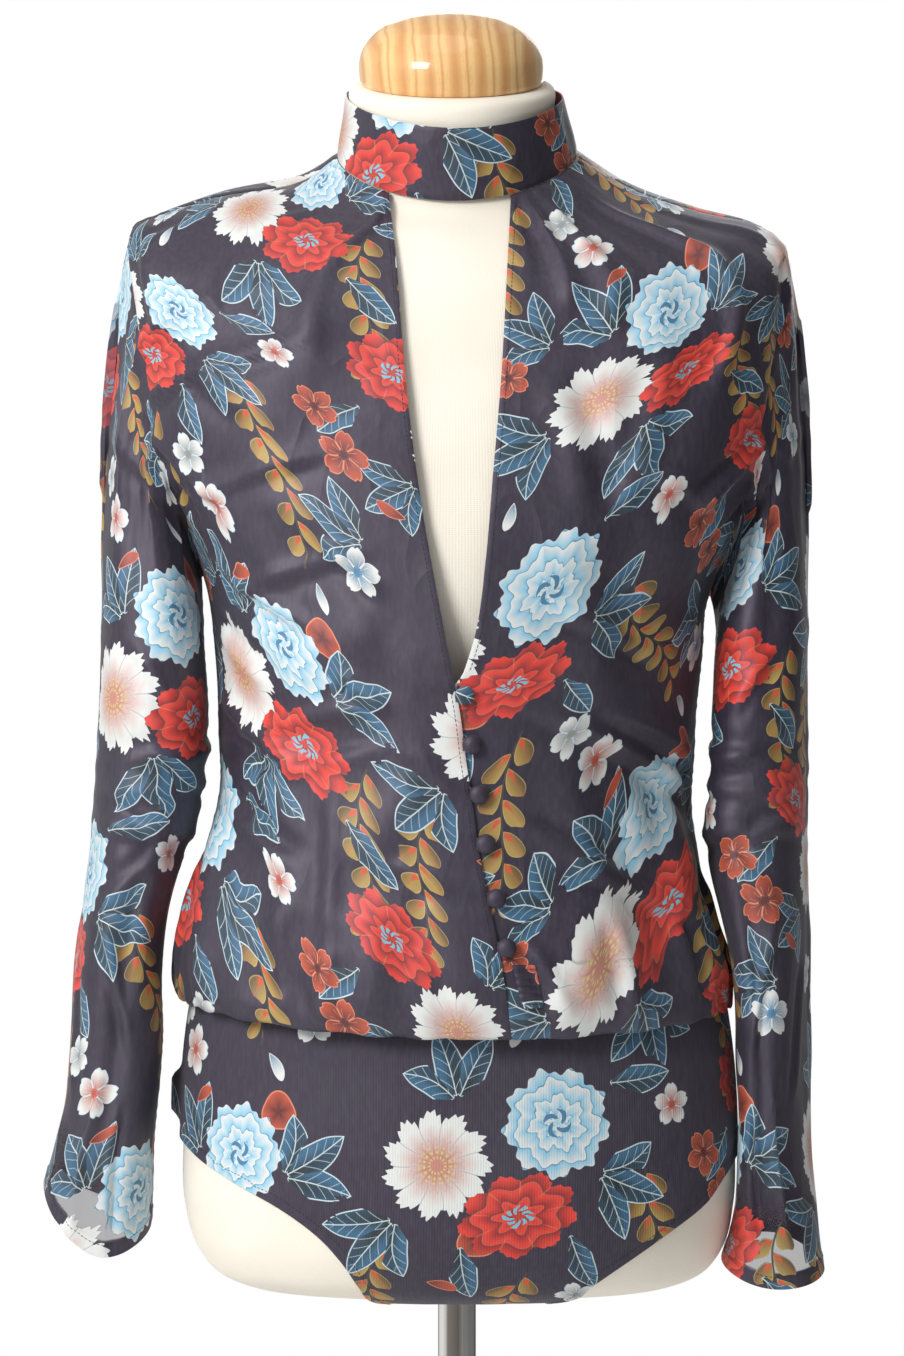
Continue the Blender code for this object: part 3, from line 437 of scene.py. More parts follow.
Motif = namedtuple("Motif", "layer kind x y turn size")
REPEAT = {  # kind, x, y, turn, size
    "sprig": (
        (10, 190, 116, -14, 1.05), (10, 10, 158, 10, 1.0), (10, 88, 180, 18, 1.05), (10, 246, 330, 6, 1.0),
        (20, 70, 104, 0, 1.2), (20, 220, 206, 0, 1.2),
    ),
    "leaf": (
        (11, 22, 92, 128, 1.0), (11, 58, 22, 252, 0.95), (11, 142, 66, 20, 1.0), (10, 124, 100, 66, 0.95),
        (10, 146, 14, 352, 0.95), (10, 60, 106, 80, 0.95), (11, 224, 244, 326, 1.0),
        (11, 156, 234, 236, 1.0), (11, 116, 292, 160, 1.0), (11, 174, 316, 78, 1.0),
        (10, 232, 312, 40, 0.95), (11, 48, 208, 300, 0.85), (11, 6, 262, 140, 0.85),
        (10, 244, 44, 130, 0.9), (10, 288, 40, 55, 0.9), (11, 246, 134, 190, 0.9),
        (11, 118, 232, 205, 0.85), (10, 60, 284, 70, 1.0),
    ),
    "pale": (
        (10, 46, 60, 20, 1.0), (20, 116, 36, 0, 0.98), (20, 192, 232, 30, 0.92), (10, 148, 282, 0, 1.05),
        (10, 30, 236, 45, 0.85),
    ),
    "red": (
        (10, 94, 90, -12, 1.0), (10, 204, 292, 160, 0.95), (10, 262, 20, 30, 0.85),
    ),
    "small": (
        (12, 234, 84, 20, 1.1), (12, 216, 58, 50, 1.0), (11, 130, 148, 0, 0.95), (13, 148, 174, 35, 1.1),
        (10, 242, 152, 12, 1.0), (10, 64, 318, 40, 1.05), (11, 36, 300, 5, 0.9), (12, 92, 250, 70, 0.9),
        (13, 190, 28, 15, 0.9), (20, 218, 180, 60, 1.1), (22, 50, 136, 20, 1.15), (22, 160, 200, 330, 1.1),
        (20, 92, 334, 110, 1.0), (22, 262, 106, 200, 1.1),
    ),
}
MOTIFS = [Motif(layer, *row) for layer, rows in REPEAT.items() for row in rows]
LAYERS = tuple(REPEAT)
# Half the length and half the width of the widest motif of each kind.
REACH = {("sprig", 1): (23, 61), ("sprig", 2): (12, 12), ("leaf", 1): (50, 50), ("pale", 1): (35, 35),
         ("pale", 2): (36, 36), ("red", 1): (38, 28), ("small", 1): (16, 16), ("small", 2): (10, 6)}
print("motifs in one repeat:", len(MOTIFS), "in", REPEAT_WIDTH, "by", REPEAT_HEIGHT, "mm")

# %% [markdown]
# ## From the roll to the cloth
#
# How does a place on a shirt know where it lies on the roll? Every piece below is a fine grid, and
# each point of it has a flat place too: how far it was across and down the cloth when that was cut.
# The motif that a facet belongs to is looked up once, and the corners of the facet keep their place
# in that motif, in an attribute for each layer. The shader reads x and y straight from there.

# %% Marking the motifs on a piece
# The print has hundreds of nodes, and much of the cloth is bare. So facets are sorted into groups,
# each with a material that draws only what the group needs.
BARE, SMALL, LEAFY, FULL = range(4)
GROUPS = {BARE: (), SMALL: ("small",), LEAFY: ("sprig", "leaf"), FULL: LAYERS}


def motif_places(low, high):
    """Every motif of the roll that reaches into a stretch of it: (motif, x, y)."""
    for column in range(int(low[0] // REPEAT_WIDTH) - 1, int(high[0] // REPEAT_WIDTH) + 2):
        drop = (column % 2) * REPEAT_HEIGHT / 2
        for row in range(int(low[1] // REPEAT_HEIGHT) - 2, int(high[1] // REPEAT_HEIGHT) + 2):
            for motif in MOTIFS:
                x = column * REPEAT_WIDTH + motif.x
                y = row * REPEAT_HEIGHT + motif.y + drop
                reach = max(REACH[motif.layer, motif.kind // 10]) * motif.size + 5
                if low[0] - reach < x < high[0] + reach and low[1] - reach < y < high[1] + reach:
                    yield motif, x, y


def mark_print(mesh, flat):
    """Writes the layers of the print on a mesh, and finds the group of each of its facets.

    flat holds the places of the facets' corners on the roll."""
    sides = np.empty(len(mesh.polygons), "i4")
    mesh.polygons.foreach_get("loop_total", sides)
    starts = np.concatenate([[0], np.cumsum(sides)[:-1]])
    middles = np.add.reduceat(flat, starts) / sides[:, None]
    found = {layer: np.zeros((len(flat), 3)) for layer in LAYERS}
    nearest_yet = {layer: np.full(len(sides), 1.0) for layer in LAYERS}
    for motif, x, y in motif_places(middles.min(axis=0), middles.max(axis=0)):
        across, along = np.add(REACH[motif.layer, motif.kind // 10], 3 / motif.size)
        turn = radians(motif.turn)
        spin = np.array([[cos(turn), sin(turn)], [-sin(turn), cos(turn)]]) / motif.size
        local = (middles - (x, y)) @ spin.T
        away = np.hypot(local[:, 0] / across, local[:, 1] / along)
        if motif.layer == "leaf":
            spread = LEAF_TURN * (motif.kind % 10 + 0.6)
            beside = np.abs(np.arctan2(local[:, 1], local[:, 0])) > spread
            away[beside & (np.hypot(*local.T) > 8)] = 2
        elif motif.kind // 10 == 1 and motif.layer == "sprig":
            away = np.maximum(np.abs(local[:, 0]) / across, np.abs(local[:, 1]) / along)
        mine = away < nearest_yet[motif.layer]
        nearest_yet[motif.layer][mine] = away[mine]
        corners = np.repeat(mine, sides)
        found[motif.layer][corners, :2] = (flat[corners] - (x, y)) @ spin.T
        found[motif.layer][corners, 2] = motif.kind
    for layer in LAYERS:
        stored = mesh.attributes.new(f"print_{layer}", "FLOAT_VECTOR", "CORNER")
        stored.data.foreach_set("vector", found[layer].ravel())
    shown = {layer: found[layer][starts, 2] > 0 for layer in LAYERS}
    blooms = shown["pale"] | shown["red"]
    leaves = shown["leaf"] | shown["sprig"]
    return np.select([blooms | (leaves & shown["small"]), leaves, shown["small"]], [FULL, LEAFY, SMALL], BARE)


# %% [markdown]
# ## Cloth finishes
#
# The blouse is a thin satin. Its face is smooth, so it has a soft broad gloss, and the white room
# shows in it as a pale sheen where it turns away. On the wrong side the print is fainter. The brief
# is the same print on a stretch jersey, which is matt. The sleeves are single and let a little light
# through, which is what the alpha is for.

# %% The printed cloths
WARP_STEP, WEFT_STEP, WALE_STEP = 0.0014, 0.0009, 0.0016  # metres from one thread or rib to the next


def parts(vector, count=3):
    """The first numbers of a vector."""
    return [vector.node("ShaderNodeSeparateXYZ", None, {0: vector}, part) for part in range(count)]


def attribute(place, name, output=2):
    """What the mesh keeps under a name: a number, or a vector from output 1."""
    return place.node("ShaderNodeAttribute", {"attribute_name": name}, output=output)


KINDS = {
    "sprig": {12: sprig, 22: bud},
    "leaf": {12: leaf_fan},
    "pale": {12: white_bloom, 22: blue_bloom},
    "red": {12: red_bloom},
    "small": {12: blossom, 22: loose_petal},
}


def printed_colour(place, layers, ground):
    """The print from its ground up, and a mask of its motifs."""
    colour, covered = ground, 0
    for layer in layers:
        x, y, kind = parts(attribute(place, f"print_{layer}", 1))
        digit = (kind / 10 + 0.02).fraction() * 10 - 0.2
        more = [digit] if layer == "leaf" else [hues_of(digit)] if layer == "small" else []
        for middle, draw in KINDS[layer].items():
            mask, motif = draw(x, y, *more)
            mask = mask * kind.near(middle, 3.5)
            colour = paint_over(mask, colour, motif)
            covered = mask.most(covered)
    return colour, covered


def start_material(name):
    """A new material, and where on its object a point of it lies."""
    material = bpy.data.materials.new(name)
    material.use_nodes = True
    return material, Term(material.node_tree).node("ShaderNodeTexCoord", output=3)


def finish_material(material, **channels):
    """Links terms to the sockets of the Principled shader; plain numbers are set on them."""
    shader = material.node_tree.nodes["Principled BSDF"]
    for name, value in channels.items():
        socket = shader.inputs[name.replace("_", " ")]
        if isinstance(value, Term):
            material.node_tree.links.new(value.socket, socket)
        else:
            socket.default_value = value
    return material


def bumped(height, distance):
    """A Normal from a height, which a distance in metres scales."""
    return height.node("ShaderNodeBump", None, {"Strength": 1.0, "Distance": distance, "Height": height})


def noise(place, scale, detail=2, stretch=None, turn=(0, 0, 0)):
    """Soft noise from 0 to 1. A stretch draws it out along each axis on which it is below 1."""
    if stretch:
        place = place.node("ShaderNodeMapping", None, {"Vector": place, "Rotation": turn, "Scale": stretch})
    return place.node("ShaderNodeTexNoise", None, {"Vector": place, "Scale": scale, "Detail": detail})


def printed_cloth(name, layers, ground, roughness, sheen, alpha=1.0, rib=0.0):
    """A printed cloth. rib is how deep its knit is.

    alpha is how much light its ground stops where the cloth is thin."""
    material, place = start_material(name)
    colour, covered = printed_colour(place, layers, ground)
    u, v = parts(place.node("ShaderNodeUVMap", {"uv_map": "cloth"}), 2)
    if layers:
        colour = paint_over(attribute(place, "wrong_side") * 0.55, colour, ground)
    colour = paint_over(noise(place, 9, 1).ramp(0.35, 0.75) * 0.06, colour, SMOKE)
    slub = noise(place, 420, stretch=(1, 1, 0.3))
    colour = paint_over(slub.ramp(0.4, 0.7) * 0.05, colour, SMOKE)
    if alpha < 1:
        alpha = 1 - attribute(place, "thin") * (1 - covered * 0.85) * (1 - alpha)
    crumple = noise(place, 26, 1.5, stretch=(1, 1, 0.5), turn=(0, 0.6, 0))
    wrinkles = abs(crumple - 0.5).ramp(0.12, 0) ** 2 * (1 - rib * 20)
    thread = v.wave(WEFT_STEP) * u.wave(WARP_STEP)
    height = crumple * 0.75 + wrinkles * 0.25 + thread * 0.012 + u.wave(WALE_STEP) * rib
    return finish_material(
        material,
        Base_Color=colour,
        Roughness=crumple.ramp(0.2, 0.8) * 0.1 + (roughness - 0.05),
        Normal=bumped(height, 0.0012),
        Sheen_Weight=sheen,
        Sheen_Roughness=0.4,
        Specular_IOR_Level=0.7,
        Specular_Tint=SHEEN_HUE,
        Alpha=alpha,
    )


def cloth_finishes(name, *values, **named):
    """The same cloth for each group of facets."""
    words = {BARE: "bare", SMALL: "small", LEAFY: "leafy", FULL: "full"}
    return [printed_cloth(f"{name}_{words[group]}", layers, *values, **named)
            for group, layers in GROUPS.items()]


SATIN = cloth_finishes("satin", SATIN_GROUND, 0.55, 0.1)
SHEER_SATIN = printed_cloth("satin_sheer", LAYERS, SATIN_GROUND, 0.55, 0.1, alpha=0.36)
JERSEY = cloth_finishes("jersey", JERSEY_GROUND, 0.78, 0.12, rib=0.05)
print("nodes:", [len(finish.node_tree.nodes) for finish in SATIN])

# %% [markdown]
# ## The body under the cloth, as rings
#
# A dress form, a blouse and a collar are all closed rings, one above the other, which differ in
# width, depth and tilt. A few measured rings with smooth curves between them give the whole
# surface, and a place on it needs only two numbers: s, how far down, and a, the angle round it from
# the centre front. These are the rings of the frame, in millimetres above the form's underside.

# %% Rings of the form, the blouse and the collar
# A ring of a body: name, right, left, front, back, mid, z_front, z_right, z_left, z_back, square.
# right, left: half widths. front, back: depths from the side line, which lies at y = mid.
# z_...: heights of its four quarter points. square: fullness of its corners.
FORM_RINGS = (
    ("neck face", 60.5, 54.5, 57.5, 57.5, -2, 711, 728.6, 728.6, 746.2, 0),
    ("neck rim", 64, 58, 61, 61, -2, 708, 726.6, 726.6, 745.2, 0),
    ("neck", 64.5, 59, 61.5, 61.5, 1, 690, 712, 712, 732, 0),
    ("neck base", 70, 69.5, 61, 59.5, 8, 649, 684, 686, 700, 0),
    ("yoke 1", 93, 101, 79, 75, 8, 627, 668.5, 665.5, 683, 0),
    ("yoke 2", 140, 143, 96, 89, 7, 601, 659, 650, 656, 0.02),
    ("yoke 3", 172, 174, 105, 95, 6, 570, 646.5, 641.5, 619, 0.03),
    ("shoulder", 181, 183, 110, 97, 5, 543, 634, 627, 588, 0.04),
    ("arm plate", 179, 181, 114, 99, 4, 518, 588, 582, 543, 0.05),
    ("upper chest", 171, 173, 119, 100, 3, 484, 538, 533, 503, 0.05),
    ("bust", 158, 160, 123, 100, 2, 452, 484, 482, 465, 0.05),
    ("underarm", 147, 147, 121, 99, 2, 417, 428, 418, 424, 0.04),
    ("ribs", 135, 136, 109, 95, 1, 370, 374, 370, 372, 0.03),
    ("waist", 125, 126, 93, 89, 0, 290, 290, 290, 290, 0.02),
    ("high hip", 141, 142, 98, 98, 0, 240, 240, 240, 240, 0.02),
    ("tummy", 155, 156, 104, 109, 0, 196, 196, 196, 196, 0.02),
    ("hip line", 163.5, 165, 109, 118, 0, 146, 146, 146, 146, 0.02),
    ("hip", 165.4, 168, 111, 121, 0, 95, 95, 95, 95, 0.02),
    ("low hip", 164.5, 167.3, 109, 119, 0, 52, 52, 52, 52, 0.02),
    ("turn 1", 158, 162, 102, 112, 0, 28, 28, 28, 28, 0.02),
    ("turn 2", 146, 151, 90, 99, 0, 12, 12, 12, 12, 0.02),
    ("turn 3", 127, 132, 72, 79, 0, 3, 3, 3, 3, 0.02),
    ("sole", 95, 99, 44, 48, 0, 0, 0, 0, 0, 0.02),
)

BLOUSE_RINGS = (
    ("neck seam", 73, 73, 64.5, 62.5, 8, 651.5, 686, 688, 702, 0),
    ("yoke 1", 96, 104, 82, 78, 8, 630, 671.5, 668.5, 686, 0),
    ("yoke 2", 144, 147, 100, 92, 7, 604, 662.5, 653.5, 659, 0.02),
    ("yoke 3", 183, 183, 110, 99, 6, 574, 649.5, 644.5, 622, 0.03),
    ("shoulder tip", 197, 199, 116, 101, 5, 545, 642, 632, 590, 0.04),
    ("sleeve head", 200, 201, 121, 103, 4, 520, 592, 584, 545, 0.05),
    ("armhole", 196, 198, 127, 105, 3, 486, 541, 535, 505, 0.05),
    ("bust", 178, 182, 131, 106, 2, 452, 486, 482, 465, 0.04),
    ("armpit", 153, 152, 133, 107, 2, 421, 430, 418, 426, 0.03),
    ("midriff", 147, 149, 132, 104, 1, 384, 392, 386, 388, 0.02),
    ("waist", 143.5, 144, 128, 101, 0, 335, 335, 334, 335, 0.02),
    ("below waist", 144, 142.5, 126, 102, 0, 300, 300, 300, 300, 0.02),
    ("blouson 1", 153, 146, 127, 109, 0, 262, 266, 262, 264, 0.02),
    ("blouson 2", 166, 154, 130, 118, 0, 224, 230, 225, 226, 0.03),
    ("bulge", 172, 164, 132, 126, 0, 190, 200, 194, 194, 0.03),
    ("fold 1", 171, 166.5, 130, 128, 0, 168, 184, 178, 176, 0.03),
    ("fold 2", 168, 166, 125, 126, 0, 160.5, 178, 172, 170, 0.03),
    ("fold 3", 164, 165, 119, 121.5, 0, 164, 177.5, 173, 171.5, 0.02),
    ("waist seam", 160.4, 161.7, 110.8, 116.6, 0, 184, 184, 184, 184, 0.02),
)

# The collar's own rings, above the neck seam that it is sewn to.
COLLAR_RINGS = (
    ("top", 67.8, 64.6, 67, 65, 1, 693.5, 722.5, 721.5, 738, 0),
    ("middle", 69.2, 67.6, 66.4, 64.3, 3.5, 679, 710, 710, 725.5, 0),
    ("lower", 71.5, 71.2, 65.5, 63.5, 6.5, 664, 697, 698, 713, 0),
)

print("rings of form, blouse and collar:", len(FORM_RINGS), len(BLOUSE_RINGS), len(COLLAR_RINGS))

# %% [markdown]
# Sleeves hang beside the body, so their rings are measured from the middle of the body outwards.

# %% Rings of the sleeves
# A ring of a sleeve: name, outer, inner, y_front, y_back, z_outer, z_inner, z_front, z_back, lean.
# outer, inner: distances from the middle of the body. y_front, y_back: its depth. lean: how far its
# front edge swings inwards. The hem hangs lower in front than behind.
RIGHT_SLEEVE = (
    ("upper arm", 215.5, 153.0, -60, 64, 396, 396, 396, 396, 4),
    ("mid arm", 217.8, 150.6, -60, 62, 345, 345, 345, 345, 4),
    ("elbow 1", 219.5, 151.0, -59, 58, 305, 305, 305, 305, 4),
    ("elbow 2", 222.5, 162.0, -58, 55, 268, 268, 268, 268, 5),
    ("forearm 1", 227.0, 174.5, -56, 52, 228, 228, 228, 228, 6),
    ("forearm 2", 231.5, 177.5, -54, 50, 190, 190, 190, 190, 6),
    ("forearm 3", 234.5, 177.5, -51, 47, 150, 150, 150, 150, 5),
    ("forearm 4", 238.0, 181.0, -49, 45, 110, 108, 108, 108, 4),
    ("wrist", 244.5, 183.5, -46, 43, 84, 76, 76, 80, 2),
    ("cuff", 249.7, 185.0, -42, 40, 66, 40, 25, 50, 0),
)

LEFT_SLEEVE = (
    ("upper arm", 213.0, 156.0, -60, 64, 388, 388, 388, 388, 6),
    ("mid arm", 213.2, 153.0, -62, 61, 340, 340, 340, 340, 8),
    ("elbow 1", 213.0, 149.8, -64, 57, 300, 300, 300, 300, 9),
    ("elbow 2", 213.0, 150.4, -65, 53, 265, 265, 265, 265, 10),
    ("forearm 1", 213.0, 158.5, -65, 49, 228, 228, 228, 228, 11),
    ("forearm 2", 213.5, 166.0, -64, 46, 190, 190, 190, 190, 12),
    ("forearm 3", 214.2, 168.0, -60, 44, 140, 140, 140, 140, 12),
    ("forearm 4", 215.4, 169.0, -56, 43, 92, 92, 92, 92, 13),
    ("wrist", 218.0, 167.6, -50, 42, 52, 52, 50, 54, 9),
    ("cuff", 222.0, 160.0, -44, 40, 12, 18, 5, 28, 2),
)

print("rings of a sleeve:", len(RIGHT_SLEEVE))

# %% [markdown]
# ## Edges that are cut
#
# The fronts meet on a slanted edge, above which they part in a long narrow opening. The brief is
# cut high at the legs. Both are curves through a few measured points.

# %% Front edges, leg edges and buttons
# Edges on the front, as heights and distances to the left of the middle.
RIGHT_FRONT_EDGE = (
    (655, -40.5), (612, -35.4), (565, -31.9), (530, -28.6), (471, -20.9), (420, -12.0), (375, -3.4),
    (350, 1.4), (322, 5.0), (296, 8.9), (270, 12.3), (247, 16.8), (218, 22.7), (189, 27.8),
    (160, 31.5),
)

LEFT_OPENING_EDGE = (
    (655, 32.0), (612, 29.5), (541, 25.3), (484, 20.4), (437, 16.4), (391, 9.6), (368, 2.0),
    (345, -9.0),
)

# Leg edges of the brief, front and back: a height, and the half width there, right and left.
FRONT_LEGS = (
    (97, 176, 185), (90, 163, 176), (84, 153, 170), (72, 129, 158), (60, 104, 146), (44, 81, 123),
    (30, 68, 102), (13, 57, 78), (3, 50, 66), (0, 44, 56),
)

BACK_LEGS = (
    (97, 176, 185), (90, 164, 176), (76, 155, 164), (58, 140, 149), (40, 122, 130), (24, 103, 109),
    (10, 80, 84), (3, 60, 62), (0, 44, 45),
)

# Buttons down the front and at the back of the collar, by the height of their centres.
BUTTON_HEIGHTS = (359, 331, 302, 273.5, 242, 213.5)
COLLAR_BUTTON_HEIGHTS = (712, 728)

print("buttons down the front:", len(BUTTON_HEIGHTS))

# %% [markdown]
# ## Curves through the rings
#
# A cubic between two rows of a table takes its slopes from the rows beside them, so it passes every
# row without a kink and never swings far past one. `Loft` reads the columns of its rings that way,
# and turns them into a point of an oval that differs in all four quarters.

# %% Smooth tables and lofts
def cubic(first, last, leave, arrive, t):
    """From a first place to a last one, on a curve that leaves and arrives in given directions."""
    return (first * (1 + 2 * t) * (1 - t) ** 2 + last * t ** 2 * (3 - 2 * t)
            + leave * t * (1 - t) ** 2 + arrive * t ** 2 * (t - 1))


def spline(knots, rows, s):
    """Columns of a table at s, on cubics that take their slopes from the rows beside them."""
    s = np.clip(np.asarray(s, float), knots[0], knots[-1])
    i = np.clip(np.searchsorted(knots, s, side="right") - 1, 0, len(knots) - 2)
    step = np.diff(knots)
    slope = np.diff(rows, axis=0) / step[:, None]
    tangent = np.vstack([slope[:1], slope[:1], slope[1:]])[: len(rows)].copy()
    before, after = step[:-1, None], step[1:, None]
    tangent[1:-1] = (slope[:-1] * after + slope[1:] * before) / (before + after)
    tangent[-1] = slope[-1]
    h = step[i][..., None]
    t = ((s - knots[i]) / step[i])[..., None]
    return cubic(rows[i], rows[i + 1], tangent[i] * h, tangent[i + 1] * h, t)


def by_height(table):
    """A function that reads the columns of a table of heights at any height."""
    rows = np.array(sorted(table), float)
    return lambda z: spline(rows[:, 0], rows[:, 1:], z)


def smooth_step(x):
    x = np.clip(x, 0, 1)
    return x * x * (3 - 2 * x)


def unit(v):
    return v / np.linalg.norm(v, axis=-1, keepdims=True)


class Loft:
    """A body of closed rings, smooth between them. s is the way down it, a the way round."""

    def __init__(self, rings):
        self.rows = np.array([ring[1:] for ring in rings], float)
        right, left, front, back, mid, z_front, z_right, z_left, z_back, square = self.rows.T
        quarters = ((right, z_right), (left, z_left), (front - mid, z_front), (back + mid, z_back))
        steps = [np.hypot(np.diff(out), np.diff(z)) for out, z in quarters]
        self.knots = np.concatenate([[0], np.cumsum(np.mean(steps, axis=0))])
        self.at = {ring[0]: knot for ring, knot in zip(rings, self.knots)}

    def point(self, s, a):
        s, a = np.broadcast_arrays(np.asarray(s, float), np.asarray(a, float))
        columns = np.moveaxis(spline(self.knots, self.rows, s), -1, 0)
        right, left, front, back, mid, z_front, z_right, z_left, z_back, square = columns
        side, fore = np.sin(a), np.cos(a)
        swell = 1 + square * np.sin(2 * a) ** 2
        x = np.where(side > 0, left, right) * side * swell
        y = mid - np.where(fore > 0, front, back) * fore * swell
        z_side = (z_right + z_left) / 2
        z = z_side + (z_left - z_right) / 2 * side
        z = z + (z_front - z_back) / 2 * fore + ((z_front + z_back) / 2 - z_side) * fore ** 2
        return np.stack([x, y, z], axis=-1)

    def slopes(self, s, a):
        ds, da = 0.5, radians(0.3)
        down = self.point(np.add(s, ds), a) - self.point(np.subtract(s, ds), a)
        round_ = self.point(s, np.add(a, da)) - self.point(s, np.subtract(a, da))
        return down, round_ / (2 * da)

    def normal(self, s, a):
        down, round_ = self.slopes(s, a)
        return unit(np.cross(down, round_))


FORM = Loft(FORM_RINGS)
BLOUSE = Loft(BLOUSE_RINGS)
COLLAR = Loft(COLLAR_RINGS + BLOUSE_RINGS[:1])
print("the blouse is", round(BLOUSE.knots[-1]), "mm long down its middle")

# %% [markdown]
# ## Folds
#
# Thin satin that hangs from the shoulders can't lie flat: spare cloth gathers into soft ridges,
# which run from where it is held to where it is tight. Each one is listed: where it starts and
# ends, how wide it is and how high. The first tables hold the large folds, which the frame has too.

# %% The large folds
# A soft fold: name, angle_1, z_1, angle_2, z_2, width, height. It is a ridge (height above 0) or a
# trough from one place to another, which fades out at its ends. Angles are degrees round the body
# from the centre front.
BLOUSE_FOLDS = (
    ("right chest, upper", -21, 596, -35, 512, 17, 3.5),
    ("right chest, lower", -38, 560, -60, 500, 20, 2.9),
    ("right bust, slack", -60, 478, -82, 466, 15, -3.8),
    ("right bust to waist", -34, 480, -52, 410, 21, 3.5),
    ("right midriff", -18, 400, -44, 372, 16, 3.2),
    ("right waist, slack", -28, 330, -66, 352, 20, -3.5),
    ("right waist to hip", -50, 330, -34, 215, 18, 3.8),
    ("beside the loops", -4, 322, -24, 262, 14, 3.2),
    ("right blouson 1", -70, 292, -58, 185, 17, 4.3),
    ("right blouson 2", -44, 250, -40, 178, 14, -3.8),
    ("right blouson 3", -18, 240, -16, 174, 14, 3.5),
    ("left shoulder gather 1", 38, 622, 26, 500, 13, 3.8),
    ("left shoulder gather 2", 52, 630, 40, 486, 13, 3.5),
    ("left shoulder gather 3", 66, 628, 56, 520, 13, 3.2),
    ("left bust, drape", 30, 470, 60, 420, 21, 3.8),
    ("left waist, drape 1", 24, 376, 70, 330, 17, 3.5),
    ("left waist, drape 2", 40, 318, 84, 286, 15, -4.1),
    ("left waist, drape 3", 34, 300, 74, 248, 16, 3.8),
    ("left blouson 1", 26, 240, 28, 178, 14, 3.5),
    ("left blouson 2", 48, 244, 50, 180, 14, -3.5),
    ("left blouson 3", 70, 240, 70, 184, 15, 3.8),
    ("back yoke, right", 214, 640, 206, 540, 17, 3.2),
    ("back yoke, left", 146, 640, 155, 548, 17, 2.9),
    ("back, right drape", 236, 470, 214, 400, 21, 3.8),
    ("back, left drape", 124, 464, 148, 392, 21, 3.5),
    ("back waist, right", 246, 350, 200, 312, 18, -3.8),
    ("back waist, left", 112, 346, 158, 318, 18, -3.5),
    ("back middle", 186, 420, 178, 300, 17, 3.5),
    ("back blouson 1", 104, 280, 108, 190, 16, 4.1),
    ("back blouson 2", 130, 268, 130, 184, 15, -3.5),
    ("back blouson 3", 154, 272, 158, 184, 16, 4.1),
    ("back blouson 4", 182, 262, 182, 180, 15, -3.2),
    ("back blouson 5", 208, 274, 204, 184, 16, 3.8),
    ("back blouson 6", 232, 266, 230, 186, 15, -3.5),
    ("back blouson 7", 252, 280, 250, 190, 15, 3.8),
)

BRIEF_FOLDS = (
    ("right leg edge, standing off", -90, 132, -90, 104, 13, 6.0),
    ("left hip drag 1", 44, 60, 74, 96, 8, 1.6),
    ("left hip drag 2", 34, 40, 62, 66, 8, 1.4),
)

# Folds of a sleeve: degrees round it from its outer side, towards the front.
SLEEVE_FOLDS = (
    ("head, front", 40, 600, 62, 480, 13, 2.9),
    ("head, back", 322, 596, 300, 470, 13, 2.6),
    ("elbow 1", 20, 330, 130, 306, 13, -3.6),
    ("elbow 2", 150, 322, 250, 290, 12, -3.1),
    ("elbow 3", 60, 286, 160, 262, 12, -2.9),
    ("forearm, front", 96, 250, 82, 96, 11, -3.1),
    ("forearm, back", 262, 240, 280, 90, 11, -2.9),
    ("upper arm, front", 78, 470, 70, 350, 12, -2.6),
)

print("large folds:", len(BLOUSE_FOLDS) + len(BRIEF_FOLDS) + len(SLEEVE_FOLDS))

# %% [markdown]
# Small creases come next: short ones where the cloth turns under the arm, along the buttons and
# over the waist, and gathers that fan out below the neck seam. They are too fine for the solids.

